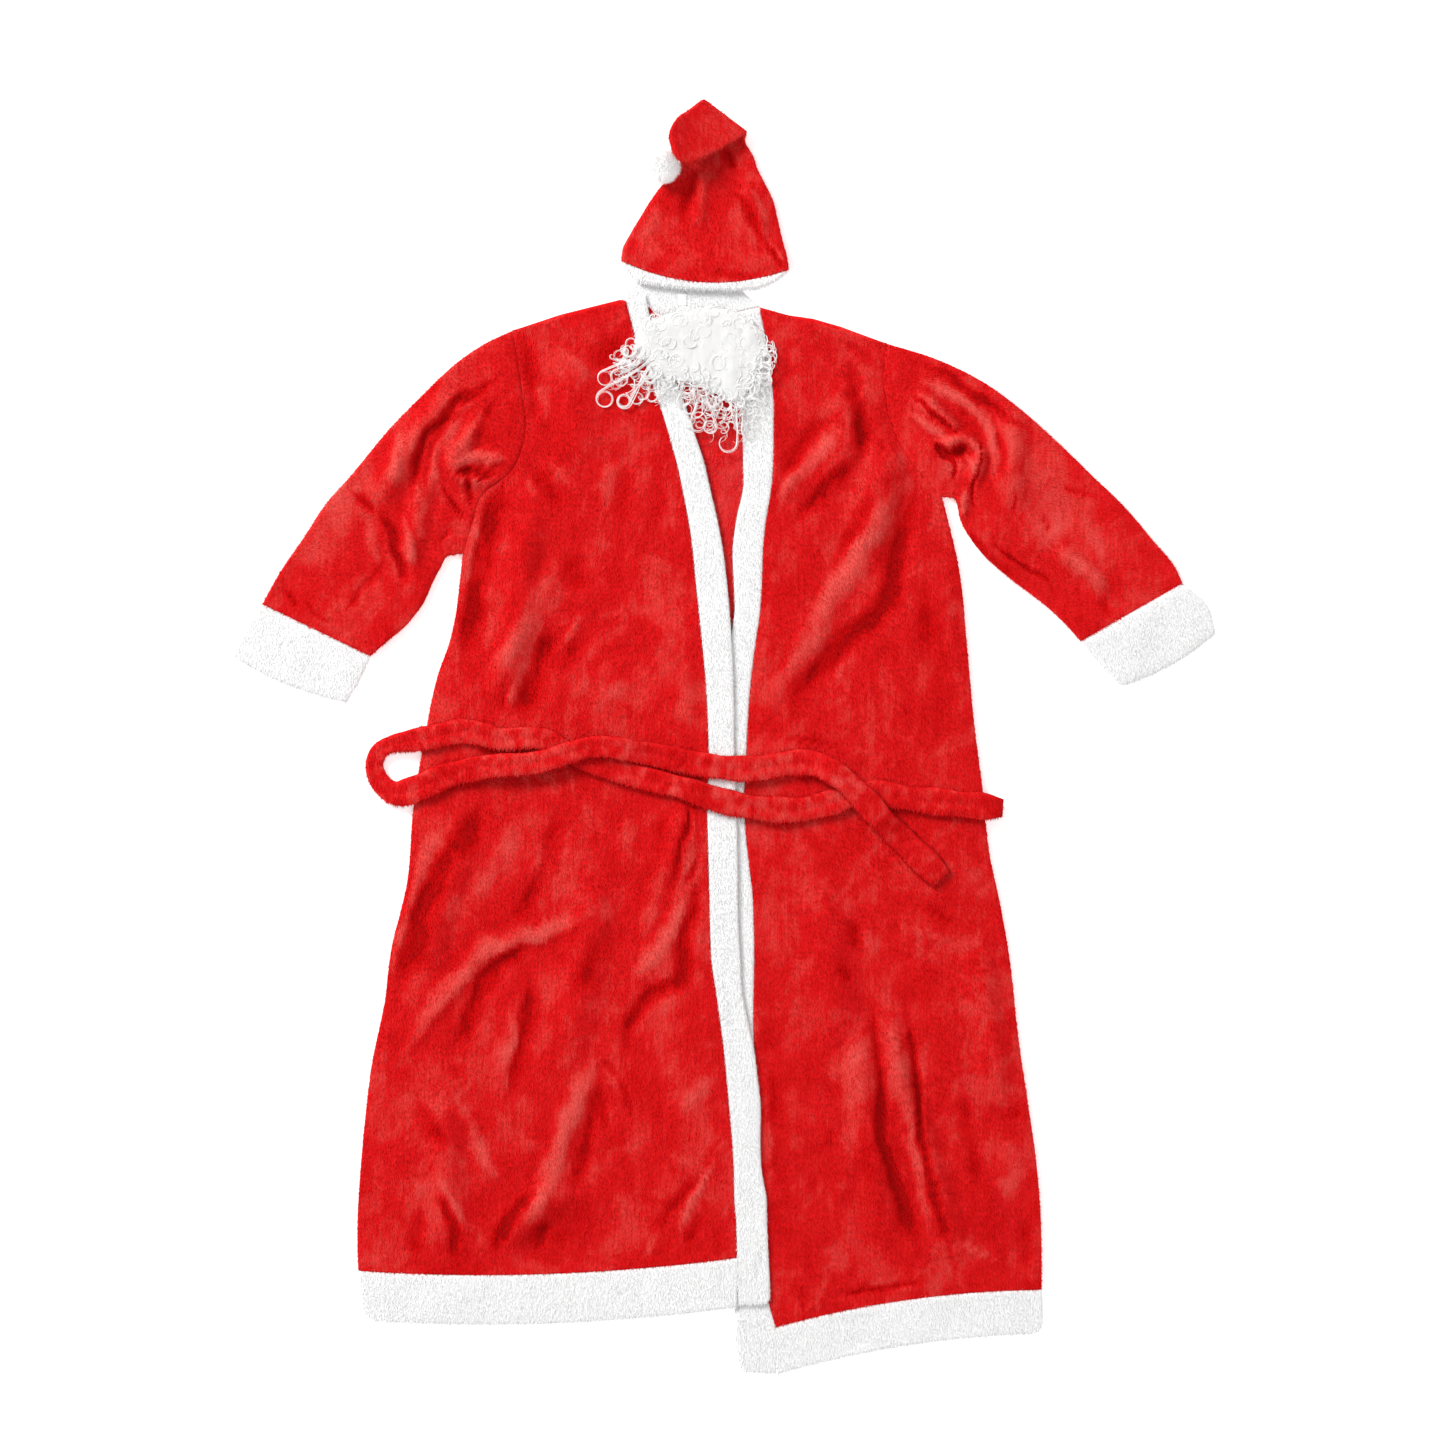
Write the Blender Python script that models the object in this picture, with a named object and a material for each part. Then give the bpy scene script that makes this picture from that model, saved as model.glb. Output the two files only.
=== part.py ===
"""A Santa suit laid out flat: a long plush robe with white trim, its tie belt, a hat and a curly beard.

The robe lies on its back with both fronts on top of the back panel. The picture's left front laps over its
right one. The hat rests on the collar, and its tip is folded over to the left, where the pompom lies.

Frame: metres, +Z up from the surface that the suit lies on, +Y from the hem towards the hat. The origin is on
that surface, under the middle of the suit's outline. Left and right are the picture's, seen from above.
Sizes are in millimetres, turned into metres where a mesh is made.
"""

import math

import bmesh
import bpy
import numpy as np
from mathutils import Vector
from mathutils.bvhtree import BVHTree

MM = 0.001

# Walls and clearances
SEAM = 0.4          # gap between pieces at a seam
RED_WALL = 3.0      # plush cloth with its pile
WHITE_WALL = 4.0    # long-pile trim
LAP = 0.4           # height between a piece and what it lies on
FRONT_LOFT = 0.8    # how far a front stands off the back panel, away from its side seam
TUBE_GAP = 1.6      # space between the two layers of a sleeve, a cuff or the hat

# Heights of the undersides above the floor
FRONT_REST = WHITE_WALL + LAP
UNDER_BAND_REST = WHITE_WALL + LAP
OVER_BAND_REST = UNDER_BAND_REST + WHITE_WALL + LAP
NECK_BAND_REST = RED_WALL + LAP
COLLAR_WALL = 3.0

# Heights on the robe, as Y, between which the over band climbs onto the under one
CROSSING_TOP_Y = 175.0
CROSSING_FULL_Y = 118.0

# Plan points in the tables are in the picture's pixels, from its top left corner. Other columns are in mm.
PIXEL = 1.12
MIDDLE_PX = (723.5, 737.0)

# Outline of the robe. An armhole runs from the shoulder tip to the underarm, a side from there to the hem.
ARMHOLE_LEFT = (
    (512, 330), (520, 385), (525, 427), (519, 458), (500, 480), (482, 493), (469, 530), (463, 553),
)
SIDE_LEFT = (
    (463, 553), (450, 640), (436, 680), (427, 724), (413, 809), (407, 882), (390, 955), (385, 999),
    (372, 1062), (365, 1118), (360, 1174), (357, 1228), (358, 1271),
)
ARMHOLE_RIGHT = ((887, 343), (884, 377), (887, 406), (899, 441), (916, 467), (942, 497))
SIDE_RIGHT = (
    (942, 497), (954, 544), (960, 573), (966, 632), (976, 738), (983, 790), (989, 850), (1001, 907),
    (1009, 953), (1019, 1041), (1028, 1102), (1037, 1166), (1041, 1217), (1042, 1290),
)
# Seam between a front and its band, from the neck down to the band's end. Columns: x, y, the band's width
SEAM_LEFT = (
    (625, 300, 24), (628, 312, 22), (636, 340, 23), (647, 370, 25), (658, 400, 27), (669, 436, 28),
    (677, 465, 30), (684.5, 501, 31), (691, 538, 33), (695.5, 583, 35), (700, 625, 34), (706, 690, 31),
    (708.4, 750, 29), (707, 808, 33), (708.3, 864, 33), (709.6, 919, 32), (711, 959, 33), (717.6, 1004, 29),
    (722.4, 1040, 33), (727.4, 1090, 35), (730, 1120, 35), (733, 1156, 30), (734, 1197, 36), (737, 1243, 34),
    (737, 1268, 36), (738, 1305, 36),
)
SEAM_RIGHT = (
    (760, 307, 26), (763, 325, 28), (768, 345, 30), (771, 375, 32), (774, 400, 34), (774, 438, 35),
    (773, 479, 33), (770, 501, 31), (765, 530, 34), (763, 562, 34), (761, 609, 29), (757, 636, 29),
    (752, 674, 33), (746.5, 756, 34), (744.6, 810, 34), (748, 851, 34), (753, 894, 34), (754.6, 946, 34),
    (754, 1036, 34), (757, 1090, 32), (759, 1120, 32), (758, 1156, 28), (765, 1197, 33), (765, 1243, 31),
    (768, 1270, 33), (768, 1300, 38), (773, 1317, 46), (776, 1330, 47), (777, 1352, 46), (776, 1374, 40),
)
# Where the hem bands start on those seams, how deep they are, and how far their middles bow towards +Y
HEM_TOP_LEFT_PX = 1257.0
HEM_TOP_RIGHT_PX = 1328.0
HEM_DEPTH_LEFT = 55.0
HEM_DEPTH_RIGHT = 52.0
HEM_DEPTH_BACK = 48.0
BACK_HEM_SLANT = 8.0
LEFT_HEM_BOW = -11.0
RIGHT_HEM_BOW = 10.0
BACK_HEM_BOW = 20.0
# Top edge of the back panel: the two shoulders with the neckline between them
BACK_TOP = (
    (512, 330), (560, 314), (596, 305), (620, 299), (632, 301.5), (649, 306), (655.5, 314), (668, 319),
    (700, 322.5), (726, 319.5), (736, 314), (740, 311.5), (760, 309), (785, 314), (813, 318), (841, 326),
    (887, 343),
)
# The collar round the back of the neck: its edge away from the neckline and its edge next to it
COLLAR_OUTER = ((626, 297), (630, 286), (645, 277), (690, 274), (730, 279), (748, 296), (760, 306))
COLLAR_INNER = ((633, 299), (648, 303.5), (655, 311.5), (668, 316.8), (700, 320), (726, 317), (737, 310))

# Sleeves from the armhole to the cuff, and the cuffs. Columns: x and y of the edge away from the body, then
# x and y of the edge next to it
SLEEVE_LEFT = (
    (487, 342, 457, 554), (461, 359, 451, 555), (420, 397, 445, 558), (388, 430, 440, 568),
    (350, 476, 433, 581), (326, 503, 423, 603), (303, 538, 405, 626), (279, 573, 386, 642),
    (262, 604, 370, 656),
)
SLEEVE_RIGHT = (
    (937, 359, 954, 498), (987, 384, 958, 507), (1016, 405, 960, 517), (1060, 444, 968, 534),
    (1092, 475, 984, 555), (1125, 507, 1010, 578), (1154, 541, 1039, 600), (1174, 565, 1062, 620),
    (1183, 583, 1081, 641),
)
CUFF_LEFT = ((261.8, 604.4, 369.8, 656.4), (245, 629, 359, 681), (231, 655, 346, 702))
CUFF_RIGHT = ((1183.2, 583.4, 1081.2, 641.4), (1206, 603, 1096, 659), (1216, 633, 1122, 686))
CUFF_WALL = 3.6
CUFF_BOW = 7.0

# Rows of points along an armhole and a side
ARMHOLE_ROWS = 9
SIDE_ROWS = 24
BAND_END_ROWS = 3

# Soft folds: half width, height, then the points that the crest runs through
BODY_FOLDS = {
    "chest left": (28, 7, ((532, 480), (524, 560), (512, 640), (494, 720))),
    "shoulder left": (34, 5, ((560, 345), (573, 400), (590, 470))),
    "hip left": (30, 8, ((480, 812), (455, 860), (432, 925), (418, 985))),
    "by the band": (24, 5, ((690, 800), (676, 845), (668, 890))),
    "skirt left middle": (36, 6, ((600, 850), (585, 960), (560, 1080))),
    "skirt left slant": (32, 7, ((580, 1180), (527, 1215), (494, 1252))),
    "skirt left side": (28, 6, ((440, 1070), (446, 1160), (452, 1250))),
    "armpit right": (34, 8, ((900, 436), (878, 490), (860, 560))),
    "chest right": (30, 6, ((846, 370), (846, 430), (820, 500))),
    "skirt right long": (24, 8, ((886, 990), (898, 1076), (918, 1127), (942, 1204), (962, 1270))),
    "skirt right inner": (26, 6, ((858, 1000), (866, 1100), (886, 1250))),
    "skirt right upper": (36, 5, ((820, 870), (832, 960), (842, 1060))),
    "skirt right side": (30, 6, ((970, 930), (990, 1020), (1006, 1120))),
}
SLEEVE_FOLDS = {
    "left flap": (15, 8, ((493, 406), (466, 440), (452, 462), (463, 477), (500, 474))),
    "left upper arm": (26, 8, ((470, 380), (420, 432), (390, 480), (372, 520))),
    "left elbow": (20, 6, ((424, 470), (418, 515), (407, 573))),
    "right ridge": (15, 9, ((913, 391), (945, 420), (964, 436))),
    "right hook": (13, 10, ((922, 442), (942, 446), (962, 438), (978, 450), (974, 474), (967, 496))),
    "right upper arm": (24, 7, ((1000, 402), (1012, 440), (1010, 480), (1020, 516))),
    "right forearm": (16, 6, ((1050, 545), (1085, 570), (1110, 598))),
}

# Belt, from its end on the right, round the loop on the left and back to its loose end. Columns: x and y of
# its middle, its width, and how far it is lifted to pass over the stretch that was laid before
BELT = (
    (1003, 808, 20, 0), (990, 807, 28, 0), (950, 803, 30, 0), (900, 797, 29, 0), (875, 793, 28, 0),
    (855, 794, 27, 0), (835, 801, 27, 0), (810, 808, 28, 0), (760, 808, 28, 0), (720, 800, 27, 0),
    (680, 787, 26, 0), (640, 777, 26, 0), (600, 765, 25, 0), (575, 756, 24, 0), (558, 746, 24, 0),
    (544, 739, 24, 0), (524, 738, 25, 0), (501, 739, 26, 0), (482, 734, 27, 0), (462, 731, 28, 0),
    (432, 737, 27, 0), (409, 741, 24, 0), (392, 744, 20, 0), (379, 751, 19, 0), (374, 764, 19, 0),
    (379, 781, 23, 0), (394, 793, 27, 0), (420, 787, 29, 0), (443, 777, 29, 0), (469, 770, 28, 1),
    (501, 765, 26, 7.6), (524, 764, 25, 8.2), (547, 760, 24, 8.2), (570, 752, 24, 8.2), (600, 746, 24, 8.2),
    (625, 749, 25, 7.6), (650, 754, 26, 1), (680, 760, 27, 0), (720, 767, 28, 0), (760, 768, 28, 0),
    (790, 763, 28, 0), (812, 763, 28, 2), (828, 769, 28, 8), (845, 781, 28, 8.2), (865, 800, 28, 8.2),
    (880, 817, 29, 7.6), (897, 834, 29, 1), (915, 852, 30, 0), (932, 869, 30, 0), (941, 879, 26, 0),
)
BELT_THICKNESS = 7.0
BELT_LAP = 1.0
BELT_STATIONS = 84

# Hat crown from its lower edge up to the fold, then over it and along the tip. Columns: x, y and height of
# its middle, half its width, half its thickness, and the turn of its width away from +X in degrees
HAT_CROWN = (
    (705, 265, 7.9, 94, 4.4, -3), (705, 252, 7.9, 92, 4.4, -3), (706, 238, 5, 86, 4.4, -2),
    (709, 218, 4.5, 77, 4.4, -1), (712, 199, 4.5, 68, 4.4, 0), (714, 183, 4.5, 57, 4.4, 0),
    (718, 166, 4.5, 44, 4.4, -3), (719, 148, 4.5, 39, 4.4, -12), (720, 134, 4.5, 34, 4.3, -24),
    (721, 125, 5.2, 31.5, 4.2, -33),
)
HAT_FOLD = (
    (723.5, 118, 10.6, 30.5, 4.2, -37), (717, 122, 16.4, 30, 4.4, -42), (705, 130, 20, 28, 6, -50),
    (692, 138, 26, 27, 7.5, -60), (682, 144, 32, 24, 7.5, -70), (675, 147, 36.5, 18, 6, -75),
    (671, 148, 38, 9, 4, -75),
)
HAT_FOLD_TILTS = (90, 150, 176, 180, 180, 180, 180)
HAT_LOWER_BOW = -19.0
HAT_FOLDS = {
    "crown middle": (12, 4, ((700, 165), (700, 200), (696, 232))),
    "crown right": (10, 4, ((742, 178), (752, 205), (768, 245))),
}
# The hat band has the same columns, and the bow of its ring towards +Y
HAT_BAND = (
    (705, 265.4, 7.9, 94, 4.4, -3, -19), (702, 276, 7.9, 83, 4.4, -3, -11), (698, 286, 7.9, 66, 4.4, -3, -4),
)
POMPOM = (664.3, 166.7, 21)
POMPOM_RADIUS = 18.5
POMPOM_HALF_HEIGHT = 16.0

# Beard: a sewn strip that carries rows of curled locks
STRIP_UPPER = ((640, 325), (668, 314), (705, 308), (738, 313), (763, 332))
STRIP_LOWER = ((628, 334), (636, 346), (650, 348), (668, 341), (705, 332), (728, 333), (754, 342), (773, 352))
BEARD_REST = 9.4
BEARD_THICKNESS = 6.0
BEARD_COLUMNS = 15
LOCK_SIZE = 6.0
LOCK_SEGMENTS = 14
LOCK_WAVE = 34.0
LOCK_SWING = 4.4
# Each row of locks: its height over the strip's middle, and where the tips lie from left to right
LOCK_ROWS = (
    {
        "rise": 0.0,
        "tips": (
            (600, 374), (608, 402), (638, 410), (668, 412), (694, 444), (722, 452), (746, 444), (772, 392),
        ),
    },
    {
        "rise": 7.2,
        "tips": ((612, 362), (626, 386), (658, 392), (690, 404), (716, 424), (746, 414), (773, 366)),
    },
)

LABEL = {"x": 682, "top": 293, "bottom": 305, "width": 10, "thickness": 0.6}

RED = (0.62, 0.012, 0.016, 1)
WHITE = (0.86, 0.86, 0.86, 1)
LABEL_WHITE = (0.82, 0.82, 0.82, 1)
HAIR_WHITE = (0.88, 0.87, 0.84, 1)


def clear_scene():
    for obj in list(bpy.data.objects):
        bpy.data.objects.remove(obj)


def cloth_material(name, color, roughness):
    material = bpy.data.materials.new(name)
    material.use_nodes = True
    shader = material.node_tree.nodes["Principled BSDF"]
    shader.inputs["Base Color"].default_value = color
    shader.inputs["Roughness"].default_value = roughness
    shader.inputs["Metallic"].default_value = 0.0
    return material


def from_photo(table, pairs=1):
    """A table with its leading plan points turned from the picture's pixels into millimetres."""
    table = np.array(table, float)
    for k in range(pairs):
        table[:, 2 * k] = (table[:, 2 * k] - MIDDLE_PX[0]) * PIXEL
        table[:, 2 * k + 1] = (MIDDLE_PX[1] - table[:, 2 * k + 1]) * PIXEL
    return table


def smooth_step(value, low, high):
    share = np.clip((np.asarray(value, float) - low) / (high - low), 0, 1)
    return share * share * (3 - 2 * share)


def smooth_curve(points, count, spacing_columns=2):
    """count rows evenly spaced along a smooth curve through the table's rows, every column carried along."""
    points = np.array(points, float)
    steps = np.linalg.norm(np.diff(points[:, :spacing_columns], axis=0), axis=1)
    at = np.concatenate([[0], np.cumsum(steps)])
    slopes = np.gradient(points, at, axis=0)
    fine = np.linspace(0, at[-1], 24 * len(points))
    span = np.clip(np.searchsorted(at, fine, side="right") - 1, 0, len(at) - 2)
    width = (at[span + 1] - at[span])[:, None]
    t = (fine[:, None] - at[span][:, None]) / width
    curve = (
        (2 * t**3 - 3 * t**2 + 1) * points[span]
        + (t**3 - 2 * t**2 + t) * width * slopes[span]
        + (3 * t**2 - 2 * t**3) * points[span + 1]
        + (t**3 - t**2) * width * slopes[span + 1]
    )
    steps = np.linalg.norm(np.diff(curve[:, :spacing_columns], axis=0), axis=1)
    length = np.concatenate([[0], np.cumsum(steps)])
    even = np.linspace(0, length[-1], count)
    return np.stack([np.interp(even, length, curve[:, k]) for k in range(points.shape[1])], axis=1)


def fold_height(x, y, folds):
    """Height of the folds over each point: a rounded ridge along every crest, fading at its ends."""
    x, y = np.asarray(x, float), np.asarray(y, float)
    height = np.zeros(x.shape)
    for half_width, rise, crest in folds.values():
        line = smooth_curve(from_photo(crest), 25)
        away = np.hypot(x[..., None] - line[:, 0], y[..., None] - line[:, 1])
        nearest = away.argmin(axis=-1)
        along = nearest / (len(line) - 1)
        ends = smooth_step(np.minimum(along, 1 - along), 0, 0.3)
        ridge = smooth_step(1 - away.min(axis=-1) / half_width, 0, 1)
        height = np.maximum(height, rise * ridge * ends)
    return height


def make_object(name, bm, material, collection):
    bmesh.ops.recalc_face_normals(bm, faces=bm.faces[:])
    mesh = bpy.data.meshes.new(name)
    bm.to_mesh(mesh)
    bm.free()
    mesh.materials.append(material)
    mesh.shade_smooth()
    mesh.set_sharp_from_angle(angle=math.radians(50))
    obj = bpy.data.objects.new(name, mesh)
    collection.objects.link(obj)
    return obj


def patch(left, right, across, bottom_bow=0.0):
    """Plan points of a panel between its two long edges, which have the same number of rows. across holds the
    columns' shares of the way between them, or their number if they are even. The bow lifts the middle of the
    last row towards +Y and fades into the panel."""
    if isinstance(across, int):
        across = np.linspace(0, 1, across + 1)
    plan = left[:, None, :] * (1 - across[:, None]) + right[:, None, :] * across[:, None]
    arch = 4 * across * (1 - across)
    down = np.linspace(0, 1, len(left))[:, None]
    plan[:, :, 1] += arch * bottom_bow * down**3
    return plan


def sheet(name, plan, underside, wall, material, collection):
    """A wall of cloth over a grid of plan points, with the given height under each point."""
    rows, columns = plan.shape[0] - 1, plan.shape[1] - 1
    bm = bmesh.new()
    bmesh.ops.create_grid(bm, x_segments=columns, y_segments=rows, size=0.5)
    for vert in bm.verts:
        column = round((vert.co.x + 0.5) * columns)
        row = round((0.5 - vert.co.y) * rows)
        vert.co = Vector((*plan[row, column], underside[row, column])) * MM
    grown = bmesh.ops.extrude_face_region(bm, geom=bm.faces[:])["geom"]
    top = [item for item in grown if isinstance(item, bmesh.types.BMVert)]
    bmesh.ops.translate(bm, verts=top, vec=(0, 0, wall * MM))
    return make_object(name, bm, material, collection)


def join_rings(bm, first, second):
    count = len(first)
    for i in range(count):
        j = (i + 1) % count
        bm.faces.new((first[i], first[j], second[j], second[i]))


def ring_verts(bm, rings):
    return [[bm.verts.new(Vector(point) * MM) for point in ring] for ring in rings]


def skin(bm, rings):
    for first, second in zip(rings, rings[1:]):
        join_rings(bm, first, second)


def open_tube(name, outer, inner, material, collection):
    """A tube of cloth, open at both ends, from its outer and inner rings."""
    bm = bmesh.new()
    outer, inner = ring_verts(bm, outer), ring_verts(bm, inner)
    skin(bm, outer)
    skin(bm, inner)
    join_rings(bm, outer[0], inner[0])
    join_rings(bm, outer[-1], inner[-1])
    return make_object(name, bm, material, collection)


def pocket(name, outer, inner, material, collection):
    """A tube that is open at its first ring and closed at its last. Its inside ends earlier."""
    bm = bmesh.new()
    outer, inner = ring_verts(bm, outer), ring_verts(bm, inner)
    skin(bm, outer)
    skin(bm, inner)
    join_rings(bm, outer[0], inner[0])
    bm.faces.new(outer[-1])
    bm.faces.new(inner[-1])
    return make_object(name, bm, material, collection)


def solid_strap(name, rings, material, collection):
    bm = bmesh.new()
    rings = ring_verts(bm, rings)
    skin(bm, rings)
    bm.faces.new(rings[0])
    bm.faces.new(rings[-1])
    return make_object(name, bm, material, collection)


def flat_ring(line, base, wall, gap, folds, inset=0.0, points=2 * ARMHOLE_ROWS):
    """One ring of a tube pressed flat. line gives the middle line from one edge to the other, as plan points
    for shares 0 to 1. inset 0 is the outside, and inset equal to the wall is the inside."""
    half = wall + gap / 2 - inset
    full = np.linalg.norm(line(1.0) - line(0.0))
    ring = []
    for k in range(points):
        angle = 2 * math.pi * k / points
        share = (1 - math.cos(angle)) / 2
        share = (inset + share * (full - 2 * inset)) / full
        x, y = line(share)
        roll = min(1.0, abs(math.sin(angle)) / 0.45)
        bulge = half * math.sqrt(roll * (2 - roll))
        z = base + wall + gap / 2
        if math.sin(angle) > 1e-9:
            z += bulge + float(fold_height(x, y, folds)) * roll**2
        elif math.sin(angle) < -1e-9:
            z -= bulge
        ring.append((x, y, z))
    return ring


def straight_line(row):
    outer, inner = np.array(row[:2], float), np.array(row[2:4], float)
    return lambda share: outer + (inner - outer) * share


def sleeve(name, armhole, table, away, material, collection, stations=14):
    """A sleeve pressed flat. Its first ring follows the armhole, a seam's gap off it, and the armhole's curve
    fades out along the upper arm. away is the side of the body that it lies on."""
    hole = armhole + np.linspace(1, 2, len(armhole))[:, None] * (away * 1.5 * SEAM, SEAM)
    rows = np.concatenate([[[*hole[0], *hole[-1]]], from_photo(table, pairs=2)])
    outline = smooth_curve(rows, stations, spacing_columns=4)
    along_hole = rounded_shares(len(hole) - 1)
    chord = hole[0] + (hole[-1] - hole[0]) * along_hole[:, None]
    bend = hole - chord
    outer, inner = [], []
    for i, row in enumerate(outline):
        fade = (1 - i / (stations - 1)) ** 5
        ends = straight_line(row)

        def line(share, ends=ends, fade=fade):
            moved = np.array([np.interp(share, along_hole, bend[:, k]) for k in range(2)])
            return ends(share) + moved * fade

        outer.append(flat_ring(line, 0.0, RED_WALL, TUBE_GAP, SLEEVE_FOLDS))
        inner.append(flat_ring(line, 0.0, RED_WALL, TUBE_GAP, SLEEVE_FOLDS, inset=RED_WALL))
    return open_tube(name, outer, inner, material, collection)


def cuff(name, table, material, collection, stations=5):
    """A cuff pressed flat, whose open end bows outwards."""
    outline = smooth_curve(from_photo(table, pairs=2), stations, spacing_columns=4)
    lines = []
    for i, row in enumerate(outline):
        ends = straight_line(row)
        ahead = (outline[-1] - outline[0])[:2]
        bow = CUFF_BOW * (i / (stations - 1)) ** 2 * ahead / np.linalg.norm(ahead)
        lines.append(lambda share, ends=ends, bow=bow: ends(share) + bow * 4 * share * (1 - share))
    outer = [flat_ring(line, 0.0, CUFF_WALL, TUBE_GAP, {}) for line in lines]
    inner = [flat_ring(line, 0.0, CUFF_WALL, TUBE_GAP, {}, inset=CUFF_WALL) for line in lines]
    return open_tube(name, outer, inner, material, collection)


def band_rim(table, hem_top_px):
    """The sewn edge of a band: first the rows it shares with the front's edge, from the neck to the top of
    the hem band, then a few rows down to its own end."""
    line = smooth_curve(from_photo(table), 600)
    last = int(np.argmin(abs(line[:, 1] - (MIDDLE_PX[1] - hem_top_px) * PIXEL)))
    shared = np.linspace(0, last, ARMHOLE_ROWS + SIDE_ROWS + 1).astype(int)
    below = np.linspace(last, len(line) - 1, BAND_END_ROWS + 1).astype(int)[1:]
    return line[[*shared, *below]]


def front_underside(plan, from_side, over_band):
    """Height under a front. from_side runs from 0 at the side seam to 1 at the band."""
    x, y = plan[..., 0], plan[..., 1]
    height = FRONT_REST + FRONT_LOFT * smooth_step(from_side, 0, 0.12)
    if over_band:
        lapped = smooth_step(-y, -CROSSING_TOP_Y, -CROSSING_FULL_Y)
        climb = OVER_BAND_REST - FRONT_REST - FRONT_LOFT
        height = height + climb * lapped * smooth_step(from_side, 0.72, 0.93)
    inland = smooth_step(np.minimum(from_side, 1 - from_side), 0, 0.1)
    return height + fold_height(x, y, BODY_FOLDS) * inland


def front(name, side, seam, over_band, material, collection, columns=15):
    bow = LEFT_HEM_BOW if over_band else RIGHT_HEM_BOW
    plan = patch(side, seam, columns, bottom_bow=bow)
    from_side = np.linspace(0, 1, columns + 1)[None, :] * np.ones((len(side), 1))
    underside = front_underside(plan, from_side, over_band)
    return sheet(name, plan, underside, RED_WALL, material, collection)


def hem(name, side_end, seam_end, side_drop, seam_drop, bow, over_band, material, collection, columns=15):
    """The hem band under a front, from the front's two lower corners, which carries on the front's folds."""
    down = np.linspace(0, 1, 3)[:, None]
    corner, other = side_end - (0, SEAM), seam_end - (0, SEAM)
    plan = patch(corner + down * side_drop, other + down * seam_drop, columns)
    across = np.linspace(0, 1, columns + 1)
    plan[:, :, 1] += 4 * across * (1 - across) * bow
    height = front_underside(plan, across[None, :] * np.ones((3, 1)), over_band)
    return sheet(name, plan, height, WHITE_WALL, material, collection)


def back_hem(left_end, right_end, material, collection, columns=8):
    down = np.linspace(0, 1, 3)[:, None]
    left = left_end - (0, SEAM) + down * (BACK_HEM_SLANT, -HEM_DEPTH_BACK)
    right = right_end - (0, SEAM) + down * (-2, -HEM_DEPTH_BACK)
    plan = patch(left, right, columns)
    across = np.linspace(0, 1, columns + 1)
    plan[:, :, 1] += 4 * across * (1 - across) * BACK_HEM_BOW
    return sheet("hem_back", plan, np.zeros(plan.shape[:2]), WHITE_WALL, material, collection)


def band(name, rim, toward, over_band, material, collection, columns=3):
    """A front band. toward is the side of its seam that it lies on: 1 for the right, -1 for the left."""
    tangent = np.gradient(rim[:, :2], axis=0)
    normal = np.stack([-tangent[:, 1], tangent[:, 0]], axis=1)
    normal /= np.linalg.norm(normal, axis=1)[:, None]
    normal *= (toward * np.sign(normal[:, 0]))[:, None]
    plan = patch(rim[:, :2] + normal * SEAM, rim[:, :2] + normal * rim[:, 2:3], columns)
    y = plan[..., 1]
    if over_band:
        rest = FRONT_REST + FRONT_LOFT
        lapped = smooth_step(-y, -CROSSING_TOP_Y, -CROSSING_FULL_Y)
        height = rest + (OVER_BAND_REST - rest) * lapped
    else:
        height = np.full(y.shape, UNDER_BAND_REST)
    height = height + (NECK_BAND_REST - height) * smooth_step(y, 430, 470)
    return sheet(name, plan, height, WHITE_WALL, material, collection)


def rounded_shares(count):
    """Shares from 0 to 1 that lie closer together at both ends, like points of a circle seen edge-on."""
    return (1 - np.cos(np.linspace(0, math.pi, count + 1))) / 2


def body_edge(armhole, side):
    """An outer edge of the robe. Its points at the armhole are those of the sleeve's first ring."""
    fine = smooth_curve(from_photo(armhole), 101)
    shares, along = rounded_shares(ARMHOLE_ROWS), np.linspace(0, 1, 101)
    upper = np.stack([np.interp(shares, along, fine[:, k]) for k in range(2)], axis=1)
    lower = smooth_curve(from_photo(side), SIDE_ROWS + 1)
    return np.concatenate([upper, lower[1:]])


def back_plan(left, right):
    """Plan points of the back, with the shoulders and the neckline cut into its upper rows. It lies flat, so
    it keeps every third row below the underarm."""
    kept = [*range(ARMHOLE_ROWS), *range(ARMHOLE_ROWS, len(left), 3)]
    if kept[-1] != len(left) - 1:
        kept.append(len(left) - 1)
    left, right = left[kept], right[kept]
    left[-1, 1] = right[-1, 1] = max(left[-1, 1], right[-1, 1])
    top = from_photo(BACK_TOP)
    across = (top[:, 0] - top[0, 0]) / (top[-1, 0] - top[0, 0])
    plan = patch(left, right, across, bottom_bow=BACK_HEM_BOW)
    down = np.linspace(0, 1, len(left))[:, None]
    plan[:, :, 1] += (top[:, 1] - plan[0, :, 1]) * (1 - np.clip(down / 0.25, 0, 1)) ** 2
    return plan


def top_finder(objects):
    """A function that gives the height of the uppermost surface of the objects at a plan point, in mm."""
    trees = [BVHTree.FromPolygons([v.co for v in o.data.vertices], [p.vertices[:] for p in o.data.polygons])
             for o in objects]

    def top_at(x, y):
        start = Vector((x * MM, y * MM, 1.0))
        hits = [tree.ray_cast(start, Vector((0, 0, -1)))[0] for tree in trees]
        return max([hit.z / MM for hit in hits if hit is not None], default=0.0)

    return top_at


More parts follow.
